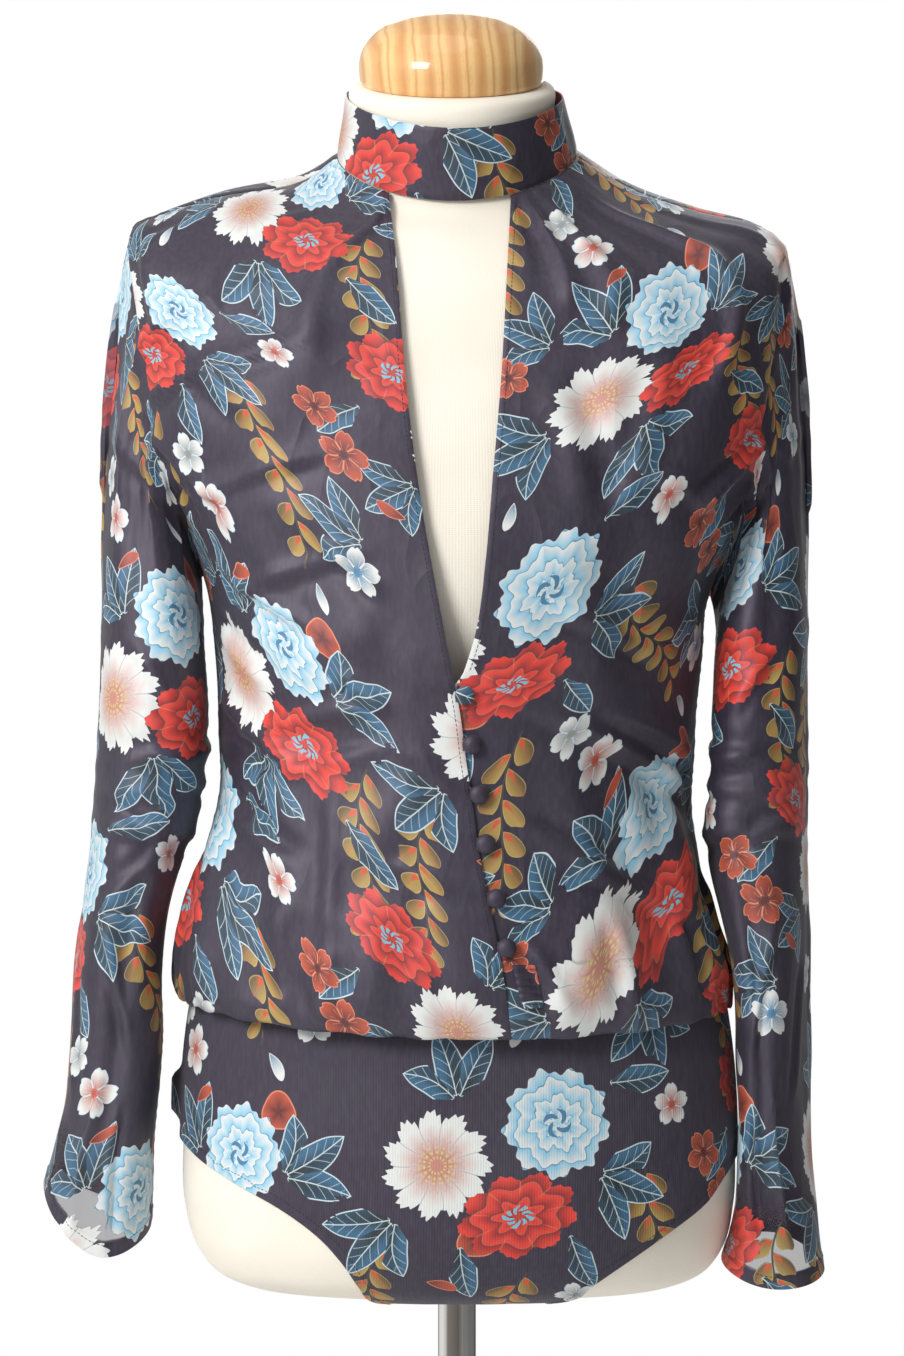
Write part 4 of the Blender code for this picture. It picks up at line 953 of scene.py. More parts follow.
# %% The small creases
BLOUSE_CREASES = (
    ("right yoke, inner", -33, 662, -25, 560, 5.4, 3.3),
    ("right yoke, middle", -50, 656, -38, 570, 7.2, -3.5),
    ("right yoke, outer", -70, 640, -58, 578, 6.3, 3.0),
    ("right chest, long", -70, 560, -32, 604, 5, 3.0),
    ("right chest, lower slant", -66, 530, -26, 566, 4.5, 2.7),
    ("right bust, slant", -60, 470, -22, 500, 4.5, 2.5),
    ("right midriff, slant", -58, 418, -20, 442, 5, 2.7),
    ("right waist, long", -76, 330, -20, 352, 5.5, 3.3),
    ("right waist, beside it", -60, 312, -18, 336, 4.5, -2.5),
    ("right hip, upright", -30, 300, -25, 212, 5, 2.7),
    ("left chest gather 4", 36, 560, 30, 470, 6, 2.9),
    ("left bust, slant", 22, 500, 52, 470, 5, 2.9),
    ("left waist, broad", 34, 330, 46, 215, 13, -4.0),
    ("left side, broad", 62, 330, 60, 222, 12, 3.4),
    ("left bust, broad", 30, 470, 44, 372, 13, -3.0),
    ("right chest, broad", -44, 500, -30, 420, 13, -2.1),
    ("left waist, long", 18, 352, 72, 300, 5.5, 3.9),
    ("left hip, slant", 26, 262, 66, 226, 5.5, 3.4),
    ("right chest, upper", -54, 602, -43, 566, 7.2, -3.8),
    ("right chest, lower", -46, 550, -36, 524, 5.4, 3.3),
    ("right armhole, long", -66, 516, -48, 474, 5.4, 4.2),
    ("right armhole, short", -74, 490, -62, 462, 4.5, -3.3),
    ("right bust, point", -26, 446, -17, 416, 4.5, 3.0),
    ("right ribs, slanted", -62, 440, -34, 398, 5.4, 3.8),
    ("right ribs, lower", -70, 404, -46, 372, 5.4, -3.3),
    ("right midriff, short", -27, 372, -17, 350, 4.5, 3.0),
    ("right waist, slanted", -72, 356, -40, 318, 6.3, 4.2),
    ("right waist, lower", -66, 306, -36, 268, 5.4, -3.8),
    ("beside the third button", -9, 326, -1, 300, 4.5, 3.6),
    ("beside the fifth button", -13, 262, -2, 246, 4.5, 3.4),
    ("right blouson, first", -78, 262, -72, 186, 5.4, 3.8),
    ("right blouson, second", -34, 236, -31, 172, 5.4, -3.0),
    ("right blouson, third", -25, 214, -27, 170, 4.5, 2.9),
    ("left neck gather 1", 31, 652, 21, 586, 4.5, 4.2),
    ("left neck gather 2", 44, 650, 31, 572, 5.4, -4.5),
    ("left neck gather 3", 58, 648, 46, 540, 5.4, 4.7),
    ("left shoulder gather", 76, 640, 68, 530, 5.4, 3.4),
    ("left chest, slack", 20, 540, 27, 470, 6.3, -3.9),
    ("left armhole, long", 66, 514, 46, 466, 5.4, 4.7),
    ("left armhole, short", 74, 486, 58, 446, 4.5, -3.9),
    ("left ribs, slanted", 22, 410, 52, 380, 5.4, 3.6),
    ("left waist, upper", 36, 350, 76, 318, 5.4, 4.5),
    ("left waist, lower", 18, 290, 44, 262, 5.4, -3.6),
    ("left strip, end", 16, 214, 22, 176, 4.5, 3.9),
    ("left blouson, first", 36, 226, 37, 174, 4.5, 3.6),
    ("left blouson, second", 60, 232, 60, 178, 5.4, -3.9),
    ("left blouson, third", 80, 250, 80, 186, 5.4, 4.2),
    ("back neck gather 1", 205, 682, 200, 620, 5.4, 3.6),
    ("back neck gather 2", 156, 682, 160, 616, 5.4, 3.6),
    ("back yoke, left slant", 132, 640, 152, 560, 6, 3.0),
    ("back yoke, right slant", 226, 636, 208, 566, 6, -3.2),
    ("back blade, left", 128, 540, 160, 500, 6, 3.6),
    ("back blade, right", 236, 544, 206, 504, 5.4, 3.4),
    ("back middle, long", 172, 520, 184, 440, 7, -2.8),
    ("back waist, left slant", 118, 372, 150, 330, 6, 4.0),
    ("back waist, right slant", 246, 366, 214, 322, 5.4, 4.2),
    ("back waist, low left", 128, 306, 158, 284, 5, -3.4),
    ("back waist, low right", 232, 300, 204, 286, 5, 3.4),
    ("back blouson, left outer", 124, 250, 121, 188, 5, 3.2),
    ("back blouson, right outer", 240, 252, 243, 188, 5, 3.4),
    ("back armhole, right", 246, 520, 226, 474, 5.4, 4.7),
    ("back armhole, left", 114, 516, 134, 470, 5.4, 4.7),
    ("back ribs, right", 250, 420, 214, 380, 6.3, -4.4),
    ("back ribs, left", 110, 424, 150, 384, 6.3, -4.1),
    ("back waist, middle", 196, 340, 166, 322, 5.4, 4.1),
    ("back blouson, right", 220, 250, 219, 184, 5.4, 4.1),
    ("back blouson, left", 142, 246, 141, 182, 5.4, 4.1),
    ("back blouson, middle", 169, 250, 170, 184, 5.4, -3.8),
)

SLEEVE_CREASES = (
    ("head gather 1", 350, 628, 342, 560, 4.5, 2.6),
    ("head gather 2", 12, 628, 20, 556, 4.5, 2.6),
    ("head gather 3", 32, 610, 46, 540, 4.5, -2.4),
    ("upper arm, outer", 12, 520, 352, 400, 6, 1.8),
    ("elbow, outer 1", 334, 334, 22, 318, 5, 2.1),
    ("elbow, outer 2", 346, 306, 34, 292, 4.5, -2.0),
    ("elbow, outer 3", 10, 282, 330, 268, 5, 1.9),
    ("forearm, outer back", 342, 230, 330, 120, 6, 1.9),
    ("above the elbow", 64, 392, 116, 352, 5.4, 2.1),
    ("elbow, short 1", 84, 326, 132, 316, 4.5, 2.0),
    ("elbow, short 2", 28, 302, 92, 280, 4.5, -2.0),
    ("below the elbow", 110, 262, 58, 236, 5.4, 2.0),
    ("forearm, long", 60, 228, 104, 152, 5.4, 2.7),
    ("forearm, outer", 18, 200, 44, 120, 4.5, -2.0),
    ("above the cuff 1", 70, 128, 66, 34, 4.5, 3.0),
    ("above the cuff 2", 104, 112, 110, 28, 4.5, -2.6),
    ("above the cuff, back", 292, 120, 296, 40, 5.4, 2.7),
    ("upper arm, back", 300, 440, 280, 340, 6.3, 3.2),
    ("elbow, back", 330, 320, 262, 300, 5.4, -2.1),
)


FOLD_RADIUS, ARM_RADIUS = 130, 48  # of a body and an arm, where degrees round them are made millimetres
CREASE_TROUGH = 0.6


def folds(table, a, z, radius=FOLD_RADIUS, trough=0.0):
    """Height of all the folds of a table at places round a body.

    trough is the share of its height by which the cloth beside a fold sinks."""
    total = np.zeros(np.broadcast(a, z).shape)
    for _, angle_1, z_1, angle_2, z_2, width, height in table:
        start = np.array([radius * radians(angle_1), z_1])
        along = np.array([radius * radians(angle_2), z_2]) - start
        length = np.hypot(*along)
        for turn in (-tau, 0, tau):
            across = radius * (a + turn) - start[0]
            t = (across * along[0] + (z - start[1]) * along[1]) / length ** 2
            off = (across * along[1] - (z - start[1]) * along[0]) / length
            fade = np.exp(-(np.clip(np.abs(t - 0.5) - 0.32, 0, None) / 0.17) ** 2)
            ridge = np.exp(-((off / width) ** 2))
            beside = np.exp(-((off / width - 1.7) ** 2))
            total = total + height * fade * (ridge - trough * beside)
    return total


print("small creases:", len(BLOUSE_CREASES) + len(SLEEVE_CREASES))

# %% [markdown]
# ## From a grid to a piece of cloth
#
# Every piece of cloth here is a grid of points on its face. `sew` gives it a back, less than a
# millimetre behind, closes the edges between them, notes where each facet lies on the printed roll,
# and hides the frame's solid that the piece stands for. The flat place of a point is how far it lies
# along its row and down its column, so the print keeps its size wherever the cloth bends.

# %% Sewing
SHEET = 0.85  # thickness of the cloth
STEP = 3.1  # usual distance between the points of a grid
SHUT = 0.05  # half of the space left in a seam
HEM = 9.0


def spaced(start, *stretches):
    """Places from a start on. Each stretch is its end and its largest step."""
    places = [start]
    for end, step in stretches:
        count = int(np.ceil(abs(end - places[-1]) / step))
        places.extend(np.linspace(places[-1], end, count + 1)[1:])
    return np.array(places)


def edge_to_edge(width):
    """Shares of a row of such a width, closer together near its two edges."""
    return spaced(0, (3, 1), (width - 3, STEP), (width, 1)) / width


def run(points, axis):
    """Distance along the rows (axis 1) or columns (axis 0) of a grid, from their first point."""
    steps = np.linalg.norm(np.diff(points, axis=axis), axis=-1)
    return np.pad(np.cumsum(steps, axis=axis), [(1 - axis, 0), (axis, 0)])


def flat_places(face, first_column, side, roll):
    """Places on the roll. first_column is how far across it the first column lies, row by row."""
    u = first_column[:, None] + side * run(face, 1)
    v = face[0, 0, 2] - face[:1, :, 2] + run(face, 0)
    return np.stack([u, v], axis=-1) + roll


def facet_corners(rows, columns, wrap):
    """The corners of all facets of a piece, as (side, row, column): face, back and edges."""
    spans, last = (columns if wrap else columns - 1), rows - 1
    r, c = [grid.ravel() for grid in np.meshgrid(np.arange(last), np.arange(spans), indexing="ij")]
    around = np.arange(spans)
    strips = [
        [(0, r, c), (0, r + 1, c), (0, r + 1, c + 1), (0, r, c + 1)],
        [(1, r, c + 1), (1, r + 1, c + 1), (1, r + 1, c), (1, r, c)],
        [(0, 0, around), (0, 0, around + 1), (1, 0, around + 1), (1, 0, around)],
        [(0, last, around + 1), (0, last, around), (1, last, around), (1, last, around + 1)],
    ]
    if not wrap:
        down, end = np.arange(last), columns - 1
        strips.append([(0, down + 1, 0), (0, down, 0), (1, down, 0), (1, down + 1, 0)])
        strips.append([(0, down, end), (0, down + 1, end), (1, down + 1, end), (1, down, end)])
    return np.concatenate([
        np.stack([np.stack(np.broadcast_arrays(*corner), axis=-1) for corner in strip], axis=1)
        for strip in strips])


def add_mesh(name, points, facets, crease=50):
    """An object from points in millimetres above the form's underside."""
    mesh = bpy.data.meshes.new(name)
    mesh.from_pydata(((points + (0, 0, FORM_HEIGHT)) * MM).tolist(), [], facets)
    mesh.shade_smooth()
    mesh.set_sharp_from_angle(angle=radians(crease))
    return put_in_scene(name, mesh)


def facet_points(mesh):
    """The numbers of the points at all the facets' corners."""
    corners = np.empty(len(mesh.loops), "i4")
    mesh.loops.foreach_get("vertex_index", corners)
    return corners


def print_on(piece, flat, cloth):
    """Puts the printed cloth on a piece. flat holds its corners' places on the roll."""
    mesh = piece.data
    group = mark_print(mesh, flat)
    places = mesh.uv_layers.new(name="cloth")
    places.data.foreach_set("uv", (flat * MM).ravel())
    for finish in cloth:
        mesh.materials.append(finish)
    mesh.polygons.foreach_set("material_index", group.astype("i4"))


def stands_for(piece, slot, *nodes):
    """The piece rides with the body and takes the place of its solids, which are hidden."""
    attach(piece, BODY)
    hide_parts(*nodes)


def sew(node, face, out, flat, cloth=SATIN, slot="printed_satin", wrap=False):
    """A piece of cloth from a grid on its face, the directions out of it and its flat places."""
    rows, columns = face.shape[:2]
    corners = facet_corners(rows, columns, wrap)
    slope = np.cross(np.gradient(face, axis=0), np.gradient(face, axis=1))
    if np.sum(slope * out) < 0:
        corners = corners[:, ::-1]
    side, row, column = np.moveaxis(corners, -1, 0)
    points = np.concatenate([face.reshape(-1, 3), (face - out * SHEET).reshape(-1, 3)])
    index = side * rows * columns + row * columns + column % columns
    piece = add_mesh(f"cloth_{node}", points, index.tolist())
    on_roll = flat[row, column].reshape(-1, 2)
    print_on(piece, on_roll, cloth)
    wrong = piece.data.attributes.new("wrong_side", "FLOAT", "FACE")
    wrong.data.foreach_set("value", (side.min(axis=1) == 1).astype(float))
    stands_for(piece, slot, node)
    area = flat_area(flat) * MM ** 2
    return piece


def flat_area(flat):
    """Area of a grid of flat places."""
    one, two = flat[1:, 1:] - flat[:-1, :-1], flat[1:, :-1] - flat[:-1, 1:]
    return np.abs(one[..., 0] * two[..., 1] - one[..., 1] * two[..., 0]).sum() / 2


# %% [markdown]
# ## Seams
#
# A seam pulls the cloth in: it lies in a narrow groove with small puckers beside it, because the
# thread is a little tighter than the satin. A turned edge is rounder than a seam and has no pucker.

# %% What a seam does to the cloth beside it
def nearest(grid, line):
    """Distance from each point of a grid to a line, and how far along the line that is."""
    along = run(line[None], 1)[0]
    gaps = [np.linalg.norm(row[:, None] - line, axis=-1) for row in grid]
    away = np.array([gap.min(axis=1) for gap in gaps])
    return away, np.array([along[gap.argmin(axis=1)] for gap in gaps])


def draw_in(face, out, line, depth=0.65, reach=1.7, pucker=0.3):
    """Sinks a seam or an edge below the cloth, with puckers beside it."""
    away, along = nearest(face, line)
    wave = np.sin(along * 0.72 + 1.9 * np.sin(along * 0.11)) * np.exp(-((away - 4.5) / 3.2) ** 2)
    sink = depth * np.exp(-((away / reach) ** 2)) - pucker * wave
    return face - out * sink[..., None]


# %% [markdown]
# ## The blouse body
#
# Its surface is the blouse loft with all the folds added along the directions out of it. The right
# front lies over a narrow strip of the left one, so it rises there. Both parts below repeat what the
# frame does, on a much finer grid, so that the small creases can be seen.

# %% The face of the blouse
SATIN_WALL = 1.5  # the wall of the frame's blouse
LAP_LIFT = SATIN_WALL + 0.75
UNDERLAP = 16.0
SLIT_FOOT = 372  # height of the slit's lower end
BODY_RADIUS = 150  # nearly the blouse's, where a distance round it is made an angle
ARMHOLE_BITE = 27.0
ARM_STEPS = 48
TIP, ARMPIT, WAIST_SEAM = [BLOUSE.at[name] for name in ("shoulder tip", "armpit", "waist seam")]

BLOUSE_ROWS = np.concatenate([
    spaced(0, (3, 1), (TIP, STEP))[:-1],
    np.linspace(TIP, ARMPIT, ARM_STEPS + 1)[:-1],
    spaced(ARMPIT, (BLOUSE.at["bulge"], STEP), (BLOUSE.at["fold 3"], 2), (WAIST_SEAM, 2.4)),
])
TIP_ROW = int(np.argmin(np.abs(BLOUSE_ROWS - TIP)))
ARMPIT_ROW = TIP_ROW + ARM_STEPS

right_front_edge = by_height(RIGHT_FRONT_EDGE)
left_opening_edge = by_height(LEFT_OPENING_EDGE)


def above_fold(s, clear):
    """1 down to a little above the fold at the blouse's lower edge, 0 from there on."""
    return smooth_step((BLOUSE.at["fold 1"] - clear - s) / 16)


def left_front_edge(s, z):
    """The left front's edge: the opening, then a strip under the right front, then side by side."""
    strip = above_fold(s, 24)
    below = right_front_edge(z)[..., 0] + 2 * SHUT * (1 - strip) - UNDERLAP * strip
    under = smooth_step((SLIT_FOOT - z) / 30)
    return (1 - under) * left_opening_edge(z)[..., 0] + under * below


def angle_at(s, edge):
    """Angle round the blouse at which it meets an edge, row by row."""
    a = np.zeros_like(s)
    for _ in range(20):
        place = BLOUSE.point(s, a)
        a = a + (edge(s, place[..., 2]) - place[..., 0]) / BODY_RADIUS
    return a


def armhole_cut(s):
    """Angle that the armhole takes from the side of a panel, row by row."""
    t = np.clip((s - TIP) / (ARMPIT - TIP), 0, 1)
    return radians(ARMHOLE_BITE) * np.sin(pi * t ** 0.9) ** 0.8


def slack(a, z):
    """The gentle unevenness of cloth that hangs free, less than a millimetre high."""
    x, y = FOLD_RADIUS * a, z
    wave = np.sin(x / 17 + 1.7 * np.sin(y / 38)) * np.sin(y / 26 + 1.3 * np.sin(x / 31) + 0.6)
    return 0.45 * wave + 0.25 * np.sin(x / 9.5 + y / 21) * np.sin(y / 13 - x / 27)


def panel(s, a, lift=0.0):
    """Face of the blouse, with its folds, and the direction out of it."""
    out = BLOUSE.normal(s, a)
    place = BLOUSE.point(s, a)
    x, y, z = np.moveaxis(place, -1, 0)
    free = smooth_step((s - BLOUSE.at["neck seam"]) / 25)
    calm = free * smooth_step((BLOUSE.at["fold 2"] - s) / 12)
    from_lap = np.abs(x - right_front_edge(z)[..., 0] + UNDERLAP / 2)
    beside = smooth_step((from_lap - UNDERLAP) / 14)
    open_front = smooth_step((z - (SLIT_FOOT - 2)) / 30) + (y > 0)
    calm = calm * np.clip(np.maximum(beside, open_front), 0, 1)
    gather = np.sin(31 * a + 2.1 * np.sin(5 * a)) * smooth_step((s - BLOUSE.at["blouson 2"]) / 30)
    gather = gather * smooth_step((WAIST_SEAM - s) / 16)
    creases = folds(BLOUSE_CREASES, a, z, trough=CREASE_TROUGH)
    small = (creases + 1.3 * slack(a, z)) * (0.35 + 0.65 * calm) * smooth_step(s / 9)
    room = 0.9 + 3.5 * smooth_step((570 - z) / 60)  # between the cloth and the form
    small = np.maximum(small, -room)
    rise = folds(BLOUSE_FOLDS, a, z) * calm + small + 0.8 * gather * beside + lift
    return place + out * rise[..., None], out


def right_front_lift(s, face):
    """The right front rises over the strip of the left one that runs under it."""
    x, z = face[..., 0], face[..., 2]
    near = smooth_step((UNDERLAP + 26 - (right_front_edge(z)[..., 0] - x)) / 18)
    return LAP_LIFT * above_fold(s, 4) * smooth_step((SLIT_FOOT + 33 - z) / 30) * near


# %% [markdown]
# Each loop tugs at the edge of the right front, so the edge has a small dimple at every button.

# %% The two fronts
FRONT_WIDTH = 215
TUG_DEPTH, TUG_REACH = 0.8, 13


def loop_tugs(face):
    """Small dimples that run in from the edge at each loop of the right front."""
    x, z = face[..., 0], face[..., 2]
    from_edge = right_front_edge(z)[..., 0] - x
    tug = sum(np.exp(-(((z - button) / 3.4) ** 2)) - 0.6 * np.exp(-(((z - button - 8) / 5) ** 2))
              for button in BUTTON_HEIGHTS)
    return -TUG_DEPTH * tug * np.exp(-((from_edge / TUG_REACH) ** 2)) * (z > 190)


def make_front(node, side, roll):
    edge = (lambda _, z: right_front_edge(z)[..., 0]) if side < 0 else left_front_edge
    first = angle_at(BLOUSE_ROWS, edge)
    last = side * (pi / 2 - armhole_cut(BLOUSE_ROWS) - SHUT / BODY_RADIUS)
    share = edge_to_edge(FRONT_WIDTH)
    a = first[:, None] + (last - first)[:, None] * share
    s = BLOUSE_ROWS[:, None] + np.zeros_like(a)
    bare = BLOUSE.point(s, a)
    lift = right_front_lift(s, bare) + loop_tugs(bare) if side < 0 else np.zeros_like(a)
    face, out = panel(s, a, lift)
    flat = flat_places(face, face[:, 0, 0], side, roll)
    for seam in (face[:, -1], face[0], face[-1]):
        face = draw_in(face, out, seam)
    face = draw_in(face, out, face[:, 0], depth=0.4, reach=1.1, pucker=0.12)
    return sew(node, face, out, flat), face, out


front_left, *LEFT_GRID = make_front("front_left", 1, (62, 118))
front_right, *RIGHT_GRID = make_front("front_right", -1, (300, 236))

# %% [markdown]
# The back is one piece. The photo doesn't show it, so it hangs like the front: gathered a little at
# the neck, and bloused over the waist.

# %% The back
BACK_WIDTH = 440


def make_back(roll):
    cut = armhole_cut(BLOUSE_ROWS) + SHUT / BODY_RADIUS
    share = edge_to_edge(BACK_WIDTH)
    a = (pi / 2 + cut)[:, None] + (pi - 2 * cut)[:, None] * share
    s = BLOUSE_ROWS[:, None] + np.zeros_like(a)
    face, out = panel(s, a)
    middle = run(face, 1)[:, len(share) // 2]
    flat = flat_places(face, -middle, 1, roll)
    for seam in (face[:, 0], face[:, -1], face[0], face[-1]):
        face = draw_in(face, out, seam)
    return sew("back", face, out, flat)


back = make_back((150, 40))

# %% [markdown]
# ## The collar
#
# A straight band, cut across the roll, stands round the neck and closes at the back. The viewer sees
# its inside behind the neck, so its wrong side is printed too, only fainter.

# %% The stand collar
COLLAR_GAP = 0.17  # half of the space where its ends meet, at the centre back
COLLAR_WIDTH, COLLAR_RADIUS = 415, 64


def make_collar(roll):
    ends = pi - COLLAR_GAP / COLLAR_RADIUS
    a = (edge_to_edge(COLLAR_WIDTH) * 2 - 1)[None, :] * ends
    last = COLLAR.knots[-1] - 2 * SHUT
    s = spaced(0, (3, 0.8), (last - 3, 2.4), (last, 0.8))[:, None] + np.zeros_like(a)
    face = COLLAR.point(s, a)
    out = COLLAR.normal(np.clip(s, 0.6, last - 0.6), a)
    uneven = 0.35 * np.sin(a * 13 + 1.4 * np.sin(a * 5)) * np.sin(s / last * pi)
    face = face + out * uneven[..., None]
    around = run(face, 1)
    flat = flat_places(face, -around[:, around.shape[1] // 2], 1, roll)
    face = draw_in(face, out, face[0], depth=0.3, reach=1.0, pucker=0)
    face = draw_in(face, out, face[-1], depth=0.5)
    sew("collar", face, out, flat)


make_collar((150, 20))

# %% [markdown]
# ## The sleeves
#
# A sleeve grows out of the armhole: each point of the armhole's seam leaves the shoulder, turns down
# and ends on the first full ring of the arm. From there the rings of the table carry it to the cuff,
# which hangs lower in front than at the back. The cloth is single and sheer, so the light of the room
# comes through: most of all just above the hem in front, and a little along the outer edge.

# %% Armhole and sleeve rings
SHEER_LENGTH = 62  # from the hem's edge up
EDGE_SHEER = 0.26  # how sheer the outer edge is, as a share of what the cuff is


def armhole_loop(side):
    """Points of an armhole from the shoulder tip down the front and up the back, with the
    direction out of the cloth and the direction off its edge."""
    s = BLOUSE_ROWS[TIP_ROW:ARMPIT_ROW + 1]
    turn = pi / 2 - armhole_cut(s)
    a = np.concatenate([side * turn, (side * (pi - turn))[-2:0:-1]])
    face, out = panel(np.concatenate([s, s[-2:0:-1]]), a)
    along = np.roll(face, -1, axis=0) - np.roll(face, 1, axis=0)
    off = unit(np.cross(out, along))
    return face, out, off * np.sign(off[:, :1] * side + 1e-9)


def sleeve_ring(row, b, side):
    """One ring of a sleeve from a row of its table."""
    outer, inner, y_front, y_back, z_outer, z_inner, z_front, z_back, lean = row
    half = (outer - inner) / 2
    thick = np.sqrt(max(half ** 2 - lean ** 2, 1))
    y_mid, depth = (y_front + y_back) / 2, (y_back - y_front) / 2
    full = 1 + 0.08 * np.sin(2 * b) ** 2
    x = (outer + inner) / 2 + thick * np.cos(b) * full - lean * np.sin(b)
    y = y_mid - depth * np.sin(b) * full
    z_mid, z_end = (z_outer + z_inner) / 2, np.where(np.sin(b) > 0, z_front, z_back)
    z = z_mid + (z_outer - z_inner) / 2 * np.cos(b) + (z_end - z_mid) * np.sin(b) ** 2
    return np.stack([side * x, y, z], axis=-1)


def grid_normals(face):
    """Directions out of a tube that is given by its rings."""
    out = unit(np.cross(np.gradient(face, axis=0), np.roll(face, -1, axis=1) - np.roll(face, 1, axis=1)))
    middle = face.mean(axis=1, keepdims=True)
    return out * np.sign(np.sum(out * (face - middle), axis=-1).mean())


# %% The two sleeves
HEAD_ROWS, CUFF_ROWS = 62, 40


def sleeve_head(seam, ring, off):
    """The rows from the armhole's seam, which they leave outwards, down to the first ring."""
    reach = np.linalg.norm(ring - seam, axis=1)[:, None]
    leave, arrive = (off * 0.55 + (0, 0, -0.6)) * reach, np.array([0, 0, -1.0]) * reach
    return cubic(seam, ring, leave, arrive, np.linspace(0, 1, HEAD_ROWS)[:-1, None, None])


def make_sleeve(node, side, table, roll):
    seam, seam_out, off = armhole_loop(side)
    b = np.arange(len(seam)) * tau / len(seam)
    values = np.array([row[1:] for row in table], float)
    heights = -values[:, 4]
    below = spaced(heights[0], (heights[-2], STEP), (heights[-1], (heights[-1] - heights[-2]) / CUFF_ROWS))
    rings = np.array([sleeve_ring(row, b, side) for row in spline(heights, values, below)])
    face = np.concatenate([sleeve_head(seam + off * 2 * SHUT, rings[0], off), rings])
    fade_in = smooth_step(np.minimum(np.arange(len(face)) / HEAD_ROWS, 1) / 0.35)[:, None]
    z = face[..., 2]
    rise = folds(SLEEVE_FOLDS, b[None], z, ARM_RADIUS)
    rise = rise + folds(SLEEVE_CREASES, b[None], z, ARM_RADIUS, CREASE_TROUGH)
    rise = rise + slack(b[None] * 0.37 + side, z) * 1.2
    face = face + grid_normals(face) * (rise * fade_in)[..., None]
    out = grid_normals(face)
    out[0] = seam_out
    # The print's own join lies under the arm, so the columns start there.
    half = len(b) // 2
    face, out = np.roll(face, half, axis=1), np.roll(out, half, axis=1)
    closed = np.concatenate([face, face[:, :1]], axis=1)
    around = run(closed, 1)
    flat = flat_places(closed, side * around[:, half], -side, roll)
    down = run(face, 0)
    from_hem = down[-1] - down
    turned_up = smooth_step((HEM + 0.6 - from_hem) / 1.2) * 0.45
    face = face + out * turned_up[..., None]
    face = draw_in(face, out, face[0], pucker=0.35)
    face = draw_in(face, out, face[:, 0], depth=0.4, pucker=0.2)
    sleeve = sew(node, face, out, flat, wrap=True)
    in_front = smooth_step((face[..., 1].mean(axis=1, keepdims=True) - face[..., 1]) / 12)
    cuff = smooth_step((SHEER_LENGTH - from_hem) / 30) * in_front
    outside = smooth_step((np.cos(np.roll(b, half)) - 0.5) / 0.3)
    strip = EDGE_SHEER * outside * smooth_step((540 - face[..., 2]) / 90)
    thin_out(sleeve.data, smooth_step((from_hem - HEM) / 1.2) * np.maximum(cuff, strip))
    return face


def thin_out(mesh, share):
    """Gives the sheer finish to the facets that are thin; share says how much, point by point."""
    mesh.materials.append(SHEER_SATIN)
    share = np.tile(share.ravel(), 2)
    thin = mesh.attributes.new("thin", "FLOAT", "POINT")
    thin.data.foreach_set("value", share)
    sheer = share[facet_points(mesh)].reshape(-1, 4).max(axis=1) > 0
    group = np.empty(len(mesh.polygons), "i4")
    mesh.polygons.foreach_get("material_index", group)
    mesh.polygons.foreach_set("material_index", np.where(sheer, len(SATIN), group).astype("i4"))


SLEEVES = [
    make_sleeve("sleeve_right", -1, RIGHT_SLEEVE, (96, 205)),
    make_sleeve("sleeve_left", 1, LEFT_SLEEVE, (32, 70)),
]

# %% [markdown]
# ## The brief
#
# The brief is stretched over the form, so it has no folds to speak of: it is the form's own surface,
# moved out. What matters is its outline. Every row of the grid runs from leg edge to leg edge, or
# between the side seams where the brief is whole, and the last rows turn under the form.

# %% How the brief lies on the form
JERSEY_LIFT = 2.15  # from the form to the face of the jersey
BRIEF_WIDTH, LEG_HEM = 330, 7.5
CROTCH = 0.5  # share of the sole's ring at which the brief ends
LEG_TOP, LEG_BEND = 96, 80  # heights between which the leg edges leave the side seams


def form_row(z):
    """The way down the form to a height below its waist."""
    s = np.linspace(FORM.at["tummy"], FORM.knots[-1], 500)
    return float(np.interp(-z, -FORM.point(s, 0.0)[:, 2], s))


BRIEF_ROWS = spaced(
    FORM.at["tummy"], (form_row(LEG_TOP), STEP), (form_row(LEG_BEND), 0.6), (FORM.at["turn 1"], STEP),
    (FORM.knots[-1], 2.2))


def leg_limits(leg, half_right, half_left):
    """Angles of the right and left leg edges from the middle line, for a row's two half widths."""
    right, left = leg
    return np.arcsin(min(right / half_right, 1)), np.arcsin(min(left / half_left, 1))


